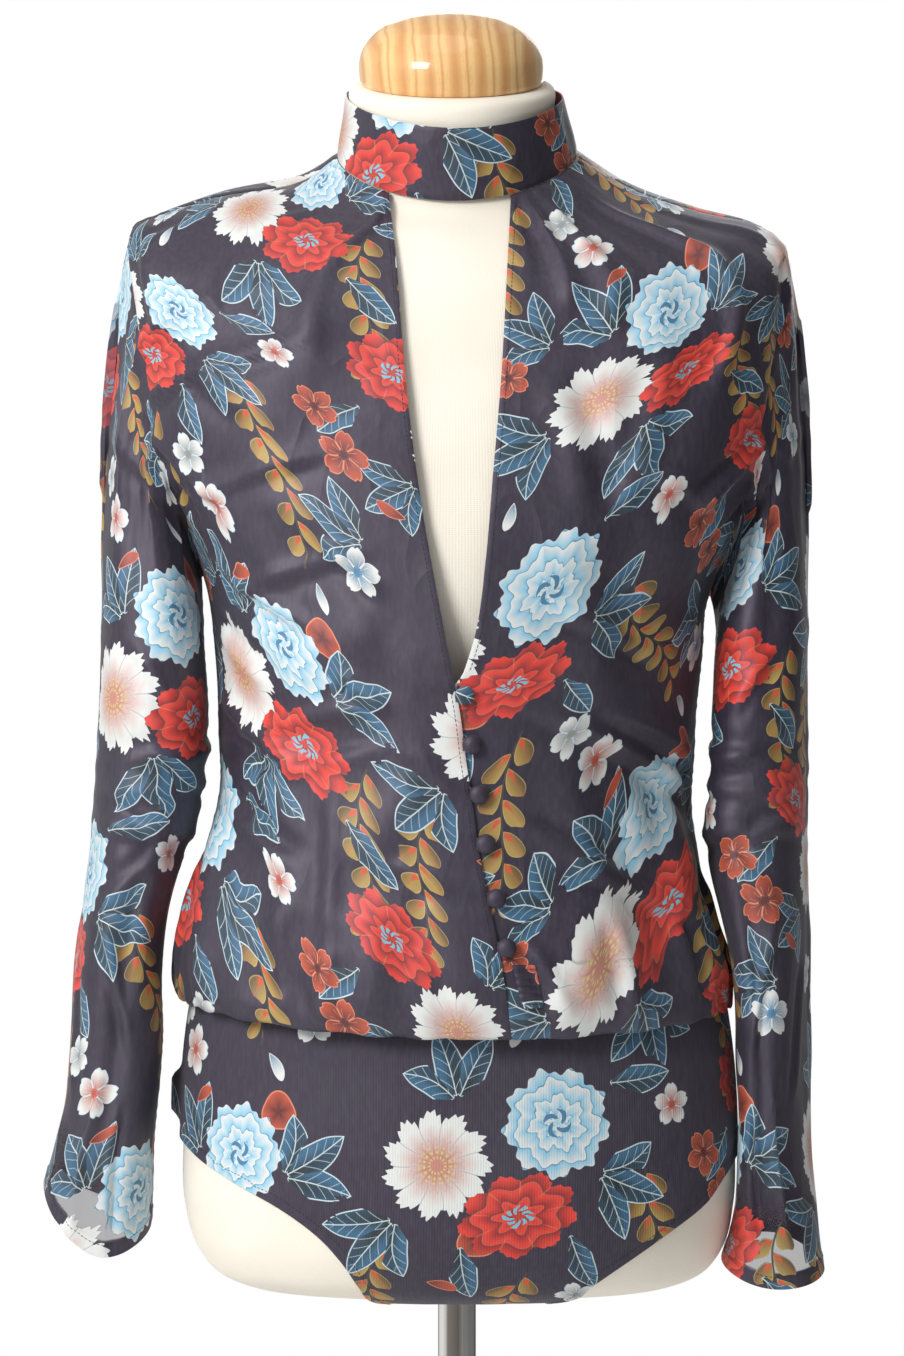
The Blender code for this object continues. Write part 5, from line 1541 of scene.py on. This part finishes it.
def make_brief(node, legs, middle, roll, sag):
    """One half of the brief. sag is how far the left corner of its end hangs."""
    share = edge_to_edge(BRIEF_WIDTH) * 2 - 1
    facing = 1 if middle == 0 else -1
    leg_at = by_height(legs)

    def angles(z, right, left):
        limit = np.where(share < 0, *leg_limits(leg_at(z), right, left)) - 2 * SHUT / BODY_RADIUS
        return middle + facing * share * limit

    rows = []
    for s in BRIEF_ROWS:
        halves = [abs(FORM.point(s, side * pi / 2)[0]) for side in (-1, 1)]
        z = FORM.point(s, 0.0)[2]
        a = angles(z, halves[0] + JERSEY_LIFT, halves[1] + JERSEY_LIFT)
        out = FORM.normal(np.clip(s, 1, FORM.knots[-1] - 1), a)
        rise = JERSEY_LIFT + np.clip(folds(BRIEF_FOLDS, a, z + 0 * a), 0, None) + 0.15 * slack(a * 2, z)
        rows.append((FORM.point(s, a) + out * rise[:, None], out))
    for part in spaced(1, (CROTCH, 0.04))[1:]:
        a = angles(0, halves[0] * part, halves[1] * part)
        place = FORM.point(FORM.knots[-1], a) * (part, part, 0)
        hang = sag * smooth_step((place[:, 0] + 30) / 70) * smooth_step((1 - part) / 0.45)
        place[:, 2] = -JERSEY_LIFT - hang
        rows.append((place, np.array([0, 0, -1.0]) + 0 * place))
    face, out = (np.array(grid) for grid in zip(*rows))
    middle_column = len(share) // 2
    flat = flat_places(face, -facing * run(face, 1)[:, middle_column], facing, roll)
    flat[..., 1] = flat[:, middle_column, None, 1]
    edges = np.concatenate([face[:, 0], face[::-1, -1]])
    away = nearest(face, edges[edges[:, 2] < LEG_TOP - 4])[0]
    face = face + out * (0.35 * smooth_step((LEG_HEM - away) / 1.1))[..., None]
    face = draw_in(face, out, edges, depth=0.35, reach=1.0, pucker=0.05)
    sew(node, face, out, flat, JERSEY, "printed_jersey")
    return face, out, away


BRIEFS = [
    make_brief("brief_front", FRONT_LEGS, 0, (60, 300), 5),
    make_brief("brief_back", BACK_LEGS, pi, (210, 120), 0),
]

# %% [markdown]
# ## The form under the garment
#
# The form's own cover shows at the neck, in the slit and at the legs: cream jersey with fine upright
# ribs, pulled smooth over a padded body. A fine grid keeps the neck and the hips round.

# %% The cover's finish
CREAM, CREAM_SHADE = rgb(247, 240, 226), rgb(232, 222, 204)
RIB_COUNT, ROW_STEP = 420, 0.0012


def cream_jersey():
    material, place = start_material("cream_jersey")
    x, y, z = parts(place)
    soft = noise(place, 14)
    ribs = (polar(x, y)[1] * RIB_COUNT).sin()
    rows = z.wave(ROW_STEP)
    colour = paint_over(soft.ramp(0.35, 0.7) * 0.5, CREAM, CREAM_SHADE)
    return finish_material(
        material,
        Base_Color=paint_over(ribs.ramp(0.2, 1) * 0.06, colour, CREAM_SHADE),
        Roughness=soft * 0.1 + 0.78,
        Normal=bumped(ribs * 0.03 + rows * 0.02 + soft, 0.0008),
        Sheen_Weight=0.15,
        Sheen_Roughness=0.5,
    )


CREAM_JERSEY = cream_jersey()
print("cream jersey:", len(CREAM_JERSEY.node_tree.nodes), "nodes")

# %% The form
FORM_ANGLES = 168


def closed_tube(name, rings, lowest, tip, crease):
    """Rings of points, from the lowest up, joined and closed by a fan round a point at each end."""
    points = np.array([*np.reshape(rings, (-1, 3)), lowest, tip])
    index = np.arange(len(points) - 2).reshape(len(rings), -1)
    following = np.roll(index, -1, axis=1)
    sides = np.stack([index[1:], index[:-1], following[:-1], following[1:]], axis=-1).reshape(-1, 4)
    base = [(index.size, int(j), int(i)) for i, j in zip(index[0], following[0])]
    top = [(index.size + 1, int(i), int(j)) for i, j in zip(index[-1], following[-1])]
    return add_mesh(name, points, sides.tolist() + base + top, crease)


def make_form():
    at = FORM.at
    s = spaced(0, (at["neck"], 1.2), (at["hip"], 4), (at["turn 3"], 2.4), (FORM.knots[-1], 3))
    a = np.arange(FORM_ANGLES) * tau / FORM_ANGLES
    rings = FORM.point(s[::-1, None], a[None, :])
    form = closed_tube("form_cover", rings, rings[0].mean(axis=0), rings[-1].mean(axis=0), 40)
    form.data.materials.append(CREAM_JERSEY)
    stands_for(form, "cream_jersey", "form_torso")
    return form


form_cover = make_form()
print("form cover:", len(form_cover.data.polygons), "facets")

# %% [markdown]
# ## Turned pieces
#
# Buttons, the cap, the pole and the base are round, so each is an outline turned about an axis. One
# function makes them all. `place` stands a point of the outline's own axis where it belongs.

# %% Turning an outline
def turned(name, outline, place, segments, crease=35):
    """A solid of revolution: (radius, height) pairs from its lower middle up to its tip."""
    angles = np.arange(segments) * tau / segments
    rings = [[place(np.array([radius * cos(t), radius * sin(t), height])) for t in angles]
             for radius, height in outline]
    lowest, tip = [place(np.array([0, 0, outline[end][1]])) for end in (0, -1)]
    return closed_tube(name, rings, lowest, tip, crease)


def seat(loft, s, a, face, out):
    """A function that stands a small piece on a face: its z leaves the cloth, its y points up."""
    down, _ = loft.slopes(s, a)
    up = unit(-down - out * np.dot(-down, out))
    across = np.cross(up, out)
    return lambda p: face + across * p[0] + up * p[1] + out * p[2]


def find_row(loft, a, z, last):
    """The way down a loft, as far as its ring called last, at which it has a height."""
    s = np.linspace(0, loft.at[last], 1200)
    return float(s[np.argmin(np.abs(loft.point(s, a)[:, 2] - z))])


# %% [markdown]
# ## Buttons and loops
#
# Each button is a small dome covered in the same satin, on a shank that stands on the left front.
# A loop of narrow satin cord, caught in the edge of the right front, goes round the shank. The first
# button happens to be cut from a teal leaf, the others from the ground of the print.

# %% Buttons down the front
BUTTON_RADIUS, BUTTON_DOME, BUTTON_FROM_EDGE = 5.75, 4.2, 4.5
SHANK_RADIUS, SHANK_CLEAR = 1.3, 0.3
BUTTON_LIFT = LAP_LIFT + 0.55
# Where on the roll the cover of each button is cut.
BUTTON_ROLL = ((160.8, 74.5), (190, 62), (8, 30), (148, 320), (176, 168), (10, 318))


def button_outline(lift, shank):
    dome = [(BUTTON_RADIUS * cos(t), BUTTON_DOME * (0.14 + 0.86 * sin(t)))
            for t in np.linspace(0, 1.45, 11)]
    rim = [(BUTTON_RADIUS - 1.3, 0.0), (BUTTON_RADIUS - 0.35, 0.12)]
    stem = [(SHANK_RADIUS, SHANK_CLEAR - lift), (SHANK_RADIUS, 0.0)] if shank else []
    return [(radius, height + lift) for radius, height in stem + rim + dome]


def make_button(node, place, lift, roll, shank=True):
    """A covered button. roll is the place of its middle on the printed roll."""
    button = turned(f"covered_{node}", button_outline(lift, shank), place, 24, crease=60)
    foot, right, up = [place(np.array(axis, float)) for axis in ((0, 0, 0), (1, 0, 0), (0, 1, 0))]
    points = np.empty(len(button.data.vertices) * 3)
    button.data.vertices.foreach_get("co", points)
    local = points.reshape(-1, 3)[facet_points(button.data)] / MM - foot - (0, 0, FORM_HEIGHT)
    print_on(button, np.stack([local @ (right - foot), -local @ (up - foot)], axis=-1) + roll, SATIN)
    stands_for(button, "printed_satin", node)


def button_places():
    """Where each button sits: a function for its own axis, and the lean of the edge beside it."""
    for z in BUTTON_HEIGHTS:
        edge = right_front_edge(np.array([z - 1, z, z + 1]))[:, 0]
        s = a = 0.0
        for _ in range(8):
            s = find_row(BLOUSE, a, z, "fold 1")
            a = a + (edge[1] + BUTTON_FROM_EDGE - float(BLOUSE.point(s, a)[0])) / BODY_RADIUS
        face, out = panel(np.array([s]), np.array([a]))
        yield seat(BLOUSE, s, a, face[0], out[0]), (edge[2] - edge[0]) / 2


SEATS = list(button_places())
for number, ((place, _), roll) in enumerate(zip(SEATS, BUTTON_ROLL), 1):
    make_button(f"button_{number}", place, BUTTON_LIFT, roll)
print("buttons:", len(SEATS))

# %% Loops
LOOP_RADIUS, LOOP_CORD, LOOP_SIDES = 2.9, 0.85, 10


def make_loop(node, place, lean):
    """A cord that leaves the edge of the right front, rounds the shank and comes back.

    lean is how far that edge runs across for each millimetre up."""
    start = -BUTTON_FROM_EDGE - 1.0
    bend = [(LOOP_RADIUS * cos(t), LOOP_RADIUS * sin(t)) for t in np.linspace(pi / 2, -pi / 2, 15)]
    straight = np.linspace(start, -0.6, 5)
    path = [(x - lean * (x / start) * LOOP_RADIUS * 0.3, LOOP_RADIUS) for x in straight]
    path = np.array(path + bend + [(x, -y) for x, y in reversed(path)])
    heading = unit(np.gradient(path, axis=0))
    t = np.arange(LOOP_SIDES) * tau / LOOP_SIDES
    beside = np.stack([-heading[:, 1], heading[:, 0]], axis=-1)
    round_it = path[:, None] + beside[:, None] * (LOOP_CORD * np.cos(t))[None, :, None]
    height = LAP_LIFT - SATIN_WALL / 2 + LOOP_CORD * np.sin(t) + 0.1
    points = np.array([place(np.array([*flat, z])) for ring in round_it for flat, z in zip(ring, height)])
    index = np.arange(len(points)).reshape(round_it.shape[:2])
    following = np.roll(index, -1, axis=1)
    sides = np.stack([index[:-1], following[:-1], following[1:], index[1:]], axis=-1).reshape(-1, 4)
    ends = [index[0, ::-1].tolist(), index[-1].tolist()]
    loop = add_mesh(f"cord_{node}", points, sides.tolist() + ends, crease=70)
    loop.data.materials.append(LOOP_SATIN)
    stands_for(loop, "printed_satin", node)


def loop_satin():
    """The satin of the narrow cords: the ground of the print, a little mottled."""
    material, place = start_material("satin_cord")
    soft = noise(place, 700)
    return finish_material(
        material, Base_Color=paint_over(soft.ramp(0.3, 0.8) * 0.25, SATIN_GROUND, SMOKE),
        Roughness=soft * 0.15 + 0.36, Normal=bumped(soft, 0.0002), Sheen_Weight=0.1)


LOOP_SATIN = loop_satin()
for number, (place, lean) in enumerate(SEATS, 1):
    make_loop(f"loop_{number}", place, lean)
print("loops:", len(SEATS))

# %% [markdown]
# The strip that carries the buttons ends below the last of them, stitched down through all its
# layers, so that it is drawn into little ridges. Two more covered buttons close the collar behind.

# %% The end of the button strip, and the buttons of the collar
STRIP_TOP, STRIP_END, STRIP_WIDTH = 204.0, 179.0, 11.5
STRIP_FROM_EDGE, STRIP_LIFT = 3.2, 1.5
BELLY_RADIUS = 146.0
RIDGE, RIDGE_HEIGHT = 4.1, 0.34


def make_placket_end(roll):
    heights = np.linspace(STRIP_TOP, STRIP_END, 42)
    s = np.array([find_row(BLOUSE, 0.2, z, "fold 1") for z in heights])
    left = right_front_edge(heights)[:, 0] + STRIP_FROM_EDGE
    x = left[:, None] + STRIP_WIDTH * edge_to_edge(14)[None, :]
    a = np.arcsin(x / BELLY_RADIUS)
    face, out = panel(s[:, None] + np.zeros_like(a), a)
    ridges = RIDGE_HEIGHT * np.sin(heights[:, None] * tau / RIDGE + 0.6 * np.sin(x / 2.1))
    flat = flat_places(face, face[:, 0, 0], 1, roll)
    face = face + out * (STRIP_LIFT + ridges)[..., None]
    for edge in (face[:, 0], face[:, -1], face[0], face[-1]):
        face = draw_in(face, out, edge, depth=0.5, reach=1.0, pucker=0.1)
    sew("placket_end", face, out, flat)
    return face, out


strip_face, strip_out = make_placket_end((40, 250))

COLLAR_BUTTON_ANGLE, COLLAR_BUTTON_LIFT = pi - 0.07, 0.7
for number, z in enumerate(COLLAR_BUTTON_HEIGHTS, 1):
    row = find_row(COLLAR, COLLAR_BUTTON_ANGLE, z, "lower")
    spot = COLLAR.point(row, COLLAR_BUTTON_ANGLE), COLLAR.normal(row, COLLAR_BUTTON_ANGLE)
    place = seat(COLLAR, row, COLLAR_BUTTON_ANGLE, *spot)
    roll = (190, 62 + 9 * number)
    make_button(f"collar_button_{number}", place, COLLAR_BUTTON_LIFT, roll, shank=False)

# %% [markdown]
# ## Stitches
#
# Machine stitches are what repeats most here: a row beside the slit, round each cuff, along each leg
# edge. Every stitch is one short bead of thread. Geometry Nodes set them out: a tree takes lines on
# the cloth, cuts them into steps of a stitch and puts a bead on each, turned along the line.

# %% The tree that sews
BEAD_SIDES, BEAD_RINGS = 6, 4


def stitch_tree():
    tree = bpy.data.node_groups.new("sewing", "GeometryNodeTree")
    sockets = (("Lines", "NodeSocketGeometry"), ("Step", "NodeSocketFloat"), ("Length", "NodeSocketFloat"),
               ("Thread", "NodeSocketFloat"), ("Finish", "NodeSocketMaterial"))
    for name, kind in sockets:
        tree.interface.new_socket(name, in_out="INPUT", socket_type=kind)
    tree.interface.new_socket("Stitches", in_out="OUTPUT", socket_type="NodeSocketGeometry")
    start = Term(tree)
    given = [start.node("NodeGroupInput", output=number) for number in range(len(sockets))]
    lines, step, length, thread, finish = given
    curve = start.node("GeometryNodeMeshToCurve", None, {"Mesh": lines})
    even = start.node("GeometryNodeResampleCurve", {"mode": "LENGTH"}, {"Curve": curve, "Length": step})
    tangent = start.node("GeometryNodeInputTangent")
    turn = start.node("FunctionNodeAlignRotationToVector", {"axis": "X"}, {"Vector": tangent})
    sizes = {"Segments": BEAD_SIDES, "Rings": BEAD_RINGS, "Radius": 0.5}
    bead = start.node("GeometryNodeMeshUVSphere", None, sizes)
    shape = start.node("ShaderNodeCombineXYZ", None, {"X": length, "Y": thread, "Z": thread})
    set_out = start.node(
        "GeometryNodeInstanceOnPoints", None,
        {"Points": even, "Instance": bead, "Rotation": turn, "Scale": shape})
    real = start.node("GeometryNodeRealizeInstances", None, {"Geometry": set_out})
    dyed = start.node("GeometryNodeSetMaterial", None, {"Geometry": real, "Material": finish})
    start.node("NodeGroupOutput", None, {"Stitches": dyed})
    return tree


SEWING = stitch_tree()
print("sewing tree:", len(SEWING.nodes), "nodes")

# %% Thread
def thread_finish(name, colour, light):
    """Twisted thread: a fine slanted stripe of a lighter shade."""
    material, place = start_material(name)
    x, _, z = parts(place)
    twist = (x + z).wave(0.0006)
    return finish_material(
        material, Base_Color=paint_over(twist.ramp(0, 1) * 0.5, colour, light),
        Roughness=twist * 0.05 + 0.5, Normal=bumped(twist, 0.0001))


THREAD = thread_finish("plum_thread", rgb(44, 40, 48), rgb(92, 86, 98))

# %% Lines to sew along
STITCH_STEP, STITCH_LENGTH, THREAD_WIDTH = 2.7, 2.1, 0.42
SLIT_STITCH, CUFF_STITCH, LEG_STITCH = 3.2, HEM - 1.4, LEG_HEM - 1.3  # from the edge


def line_at(face, out, away, target):
    """Points where a distance on a grid first passes a target, row by row."""
    points = []
    for place, lift, gap in zip(face, out, away):
        past = np.nonzero(gap > target)[0]
        if len(past) and past[0] > 0:
            i = past[0]
            share = (target - gap[i - 1]) / (gap[i] - gap[i - 1])
            points.append(place[i - 1] * (1 - share) + place[i] * share + lift[i] * THREAD_WIDTH * 0.2)
    return np.array(points)


def slit_line(face, out, lowest):
    """The stitches beside the slit, down to a height."""
    rows = (face[:, 0, 2] > lowest) & (BLOUSE_ROWS < BLOUSE.at["bulge"])
    return line_at(face[rows], out[rows], run(face[rows], 1), SLIT_STITCH)


def cuff_line(sleeve_face):
    """The stitches that hold the hem of a cuff, once round."""
    out = grid_normals(sleeve_face).swapaxes(0, 1)[:, ::-1]
    upward = sleeve_face.swapaxes(0, 1)[:, ::-1]
    points = line_at(upward, out, run(upward, 1), CUFF_STITCH)
    return np.concatenate([points, points[:1]])


LINES = [
    slit_line(*RIGHT_GRID, 190),
    slit_line(*LEFT_GRID, SLIT_FOOT),
    *(strip_face[row] + strip_out[row] * 0.1 for row in (4, 20, 37)),
    *map(cuff_line, SLEEVES),
    *(line_at(*(grid[:, ::way] for grid in brief), LEG_STITCH) for brief in BRIEFS for way in (1, -1)),
]


def sew_along(lines, name):
    """One mesh of stitches along several lines."""
    points = np.concatenate(lines)
    ends = np.cumsum([len(line) for line in lines])
    edges = [(i, i + 1) for i in range(len(points) - 1) if i + 1 not in ends]
    mesh = bpy.data.meshes.new(f"{name}_lines")
    mesh.from_pydata(((points + (0, 0, FORM_HEIGHT)) * MM).tolist(), edges, [])
    guide = put_in_scene(f"{name}_lines", mesh)
    sewing = guide.modifiers.new("sewing", "NODES")
    sewing.node_group = SEWING
    given = {"Step": STITCH_STEP * MM, "Length": STITCH_LENGTH * MM,
             "Thread": THREAD_WIDTH * MM, "Finish": THREAD}
    for socket in SEWING.interface.items_tree:
        if socket.name in given:
            sewing[socket.identifier] = given[socket.name]
    evaluated = guide.evaluated_get(bpy.context.evaluated_depsgraph_get())
    result = bpy.data.meshes.new_from_object(evaluated)
    bpy.data.objects.remove(guide)
    result.shade_smooth()
    stitches = put_in_scene(name, result)
    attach(stitches, BODY)
    return len(result.polygons)


print("stitches:", sew_along(LINES, "stitches") // (BEAD_SIDES * BEAD_RINGS))

# %% [markdown]
# ## The wooden cap
#
# The neck is closed by a turned cap of pine, with a clear gloss varnish. It was glued from staves, so
# straight grain runs up its side in bands of slightly different shade and bends over its shoulder.
# The varnish is the coat of the shader: a second, smooth gloss above the wood's own.

# %% Pine
PINE_LIGHT, PINE = rgb(248, 216, 160), rgb(236, 190, 126)
PINE_DARK, PINE_LINE = rgb(212, 150, 86), rgb(182, 116, 58)
STAVE, YEAR = 0.011, 0.0076  # metres across one stave and one ring of growth


def pine():
    material, place = start_material("varnished_pine")
    x, _, z = parts(place)
    drift = noise(place, 38, stretch=(1, 1, 0.12))
    across = x + (drift - 0.5) * 0.006 + z * 0.06
    stave = across / STAVE
    shade = ((stave - stave.fraction()) * 12.9).sin() * 0.5 + 0.5
    years = (across * (tau / YEAR) + (across * 410).sin() * 1.6 + drift * 2).sin()
    fine = noise(place, 1500, 1, stretch=(1, 1, 0.04))
    colour = paint_over(shade, PINE_LIGHT, PINE)
    colour = paint_over(years.ramp(-0.3, 1) * 0.7, colour, PINE_DARK)
    colour = paint_over(years.ramp(0.9, 1) * 0.22, colour, PINE_LINE)
    colour = paint_over(fine.ramp(0.55, 0.75) * 0.22, colour, PINE_LINE)
    return finish_material(
        material, Base_Color=colour, Roughness=fine * 0.12 + 0.4,
        Normal=bumped(fine * 0.3 + years * 0.04, 0.00008), Coat_Weight=0.7, Coat_Roughness=0.05)


PINE_FINISH = pine()
print("pine:", len(PINE_FINISH.node_tree.nodes), "nodes")

# %% The cap
CAP_OUTLINE = (
    (54.2, 0), (55, 0.6), (55.9, 3), (56.2, 6), (56.2, 13), (55.4, 17.5), (53.4, 22), (50.2, 26.8),
    (46, 31), (40.5, 35), (34, 38), (26.5, 40.6), (18, 42.3), (9, 43.3), (2, 43.6))
CAP_TILT = 17.0
CAP_FOOT = (-3.0, -2.0, 728.6)
GAP = 0.35  # between hard pieces that touch


def place_cap(point):
    """Puts the cap's own axis on the leaning top of the neck."""
    lean = radians(CAP_TILT)
    x, y, z = point
    foot = np.add(CAP_FOOT, (0, 0, GAP / cos(lean)))
    return foot + (x, y * cos(lean) - z * sin(lean), y * sin(lean) + z * cos(lean))


def smooth_outline(outline, steps):
    """More points on a smooth curve through the points of an outline."""
    rows = np.array(outline)
    way = np.concatenate([[0], np.cumsum(np.hypot(*np.diff(rows, axis=0).T))])
    return spline(way, rows, np.linspace(0, way[-1], steps))


cap = turned("pine_cap", smooth_outline(CAP_OUTLINE, 44), place_cap, 112)
cap.data.materials.append(PINE_FINISH)
stands_for(cap, "varnished_pine", "form_cap")
print("cap:", len(cap.data.polygons), "facets")

# %% [markdown]
# ## The stand
#
# Below the form the photo shows a chromed pole. Chrome has no colour of its own and mirrors the room
# as upright bands, paler and darker by turns; here those bands are painted reflections, put into the
# pole's colour by the angle round it. The base is plain: a spun steel plate.

# %% Chromed steel
# The pale and dark steel are painted reflections on the pole; on the plate the pale is a random tone.
PALE_STEEL_AND_REFLECTION, STEEL, DARK_STEEL_REFLECTION = rgb(252, 252, 252), rgb(226, 222, 216), rgb(140, 134, 126)
POLE_RADIUS, PLATE_RADIUS, PLATE_THICKNESS, PLATE_EDGE = 11.5, 165.0, 10.0, 4.0


def chrome(name, roughness, painted_reflections):
    """Polished steel: painted reflections in bands by the angle round a pole, or a spun plate's fine rings.
    """
    material, place = start_material(name)
    x, y, _ = parts(place)
    reach, angle = polar(x, y)
    soft = noise(place, 60)
    if painted_reflections:
        # Painted reflections: pale and dark bands in the colour, by the angle round the pole.
        reflection_bands = (angle * 5 + (angle * 2).sin() * 1.3 + 0.6).sin()
        pale = paint_over(reflection_bands.ramp(0.0, 0.7), STEEL, PALE_STEEL_AND_REFLECTION)
        colour = paint_over(reflection_bands.ramp(-0.7, -0.2), DARK_STEEL_REFLECTION, pale)
        rings = noise(place, 900, 1, stretch=(1, 1, 0.02))
    else:
        rings = reach.wave(0.0011) * 0.3 + soft
        colour = paint_over(soft.ramp(0.3, 0.7), STEEL, PALE_STEEL_AND_REFLECTION)
    return finish_material(
        material, Base_Color=colour, Metallic=1.0, Roughness=soft * 0.05 + roughness,
        Normal=bumped(rings, 0.00006))


def stand_piece(name, node, outline, segments, finish):
    piece = turned(name, outline, lambda point: point, segments, crease=30)
    piece.data.materials.append(finish)
    stands_for(piece, "chromed_steel", node)


rim = [(PLATE_RADIUS - PLATE_EDGE * (1 - sin(t)), PLATE_THICKNESS - PLATE_EDGE * (1 - cos(t)))
       for t in np.linspace(pi / 2, 0, 7)]
plate = [(PLATE_RADIUS - 2, 0), (PLATE_RADIUS, 2), *rim, (PLATE_RADIUS - 20, PLATE_THICKNESS),
         (POLE_RADIUS + 2, PLATE_THICKNESS)]
plate = [(radius, height - FORM_HEIGHT) for radius, height in plate]
pole = [(POLE_RADIUS, height) for height in (PLATE_THICKNESS + GAP - FORM_HEIGHT, -200, -GAP)]
stand_piece("steel_plate", "stand_plate", plate, 128, chrome("spun_steel", 0.2, painted_reflections=False))
stand_piece("steel_pole", "stand_pole", pole, 48, chrome("chromed_steel", 0.1, painted_reflections=True))
print("stand: pole of", 2 * POLE_RADIUS, "mm on a plate of", 2 * PLATE_RADIUS, "mm")

# %% [markdown]
# ## The floor
#
# The floor is pale, and thins out to nothing a few steps away, so that it never ends in an edge.

# %% Pale floor
FLOOR_RADIUS, FLOOR_FADE = 2.3, 1.1  # in metres


def make_floor():
    shape = bmesh.new()
    bmesh.ops.create_circle(shape, cap_ends=True, segments=96, radius=FLOOR_RADIUS)
    mesh = bpy.data.meshes.new("floor")
    shape.to_mesh(mesh)
    shape.free()
    material, place = start_material("pale_floor")
    reach = place.node("ShaderNodeVectorMath", {"operation": "LENGTH"}, {0: place}, 1)
    speckle = noise(place, 40)
    mesh.materials.append(finish_material(
        material, Base_Color=paint_over(speckle, rgb(248, 248, 247), rgb(244, 244, 243)),
        Roughness=speckle * 0.1 + 0.7, Alpha=reach.ramp(FLOOR_RADIUS - 0.1, FLOOR_FADE)))
    put_in_scene("floor", mesh)


make_floor()
print("floor laid")
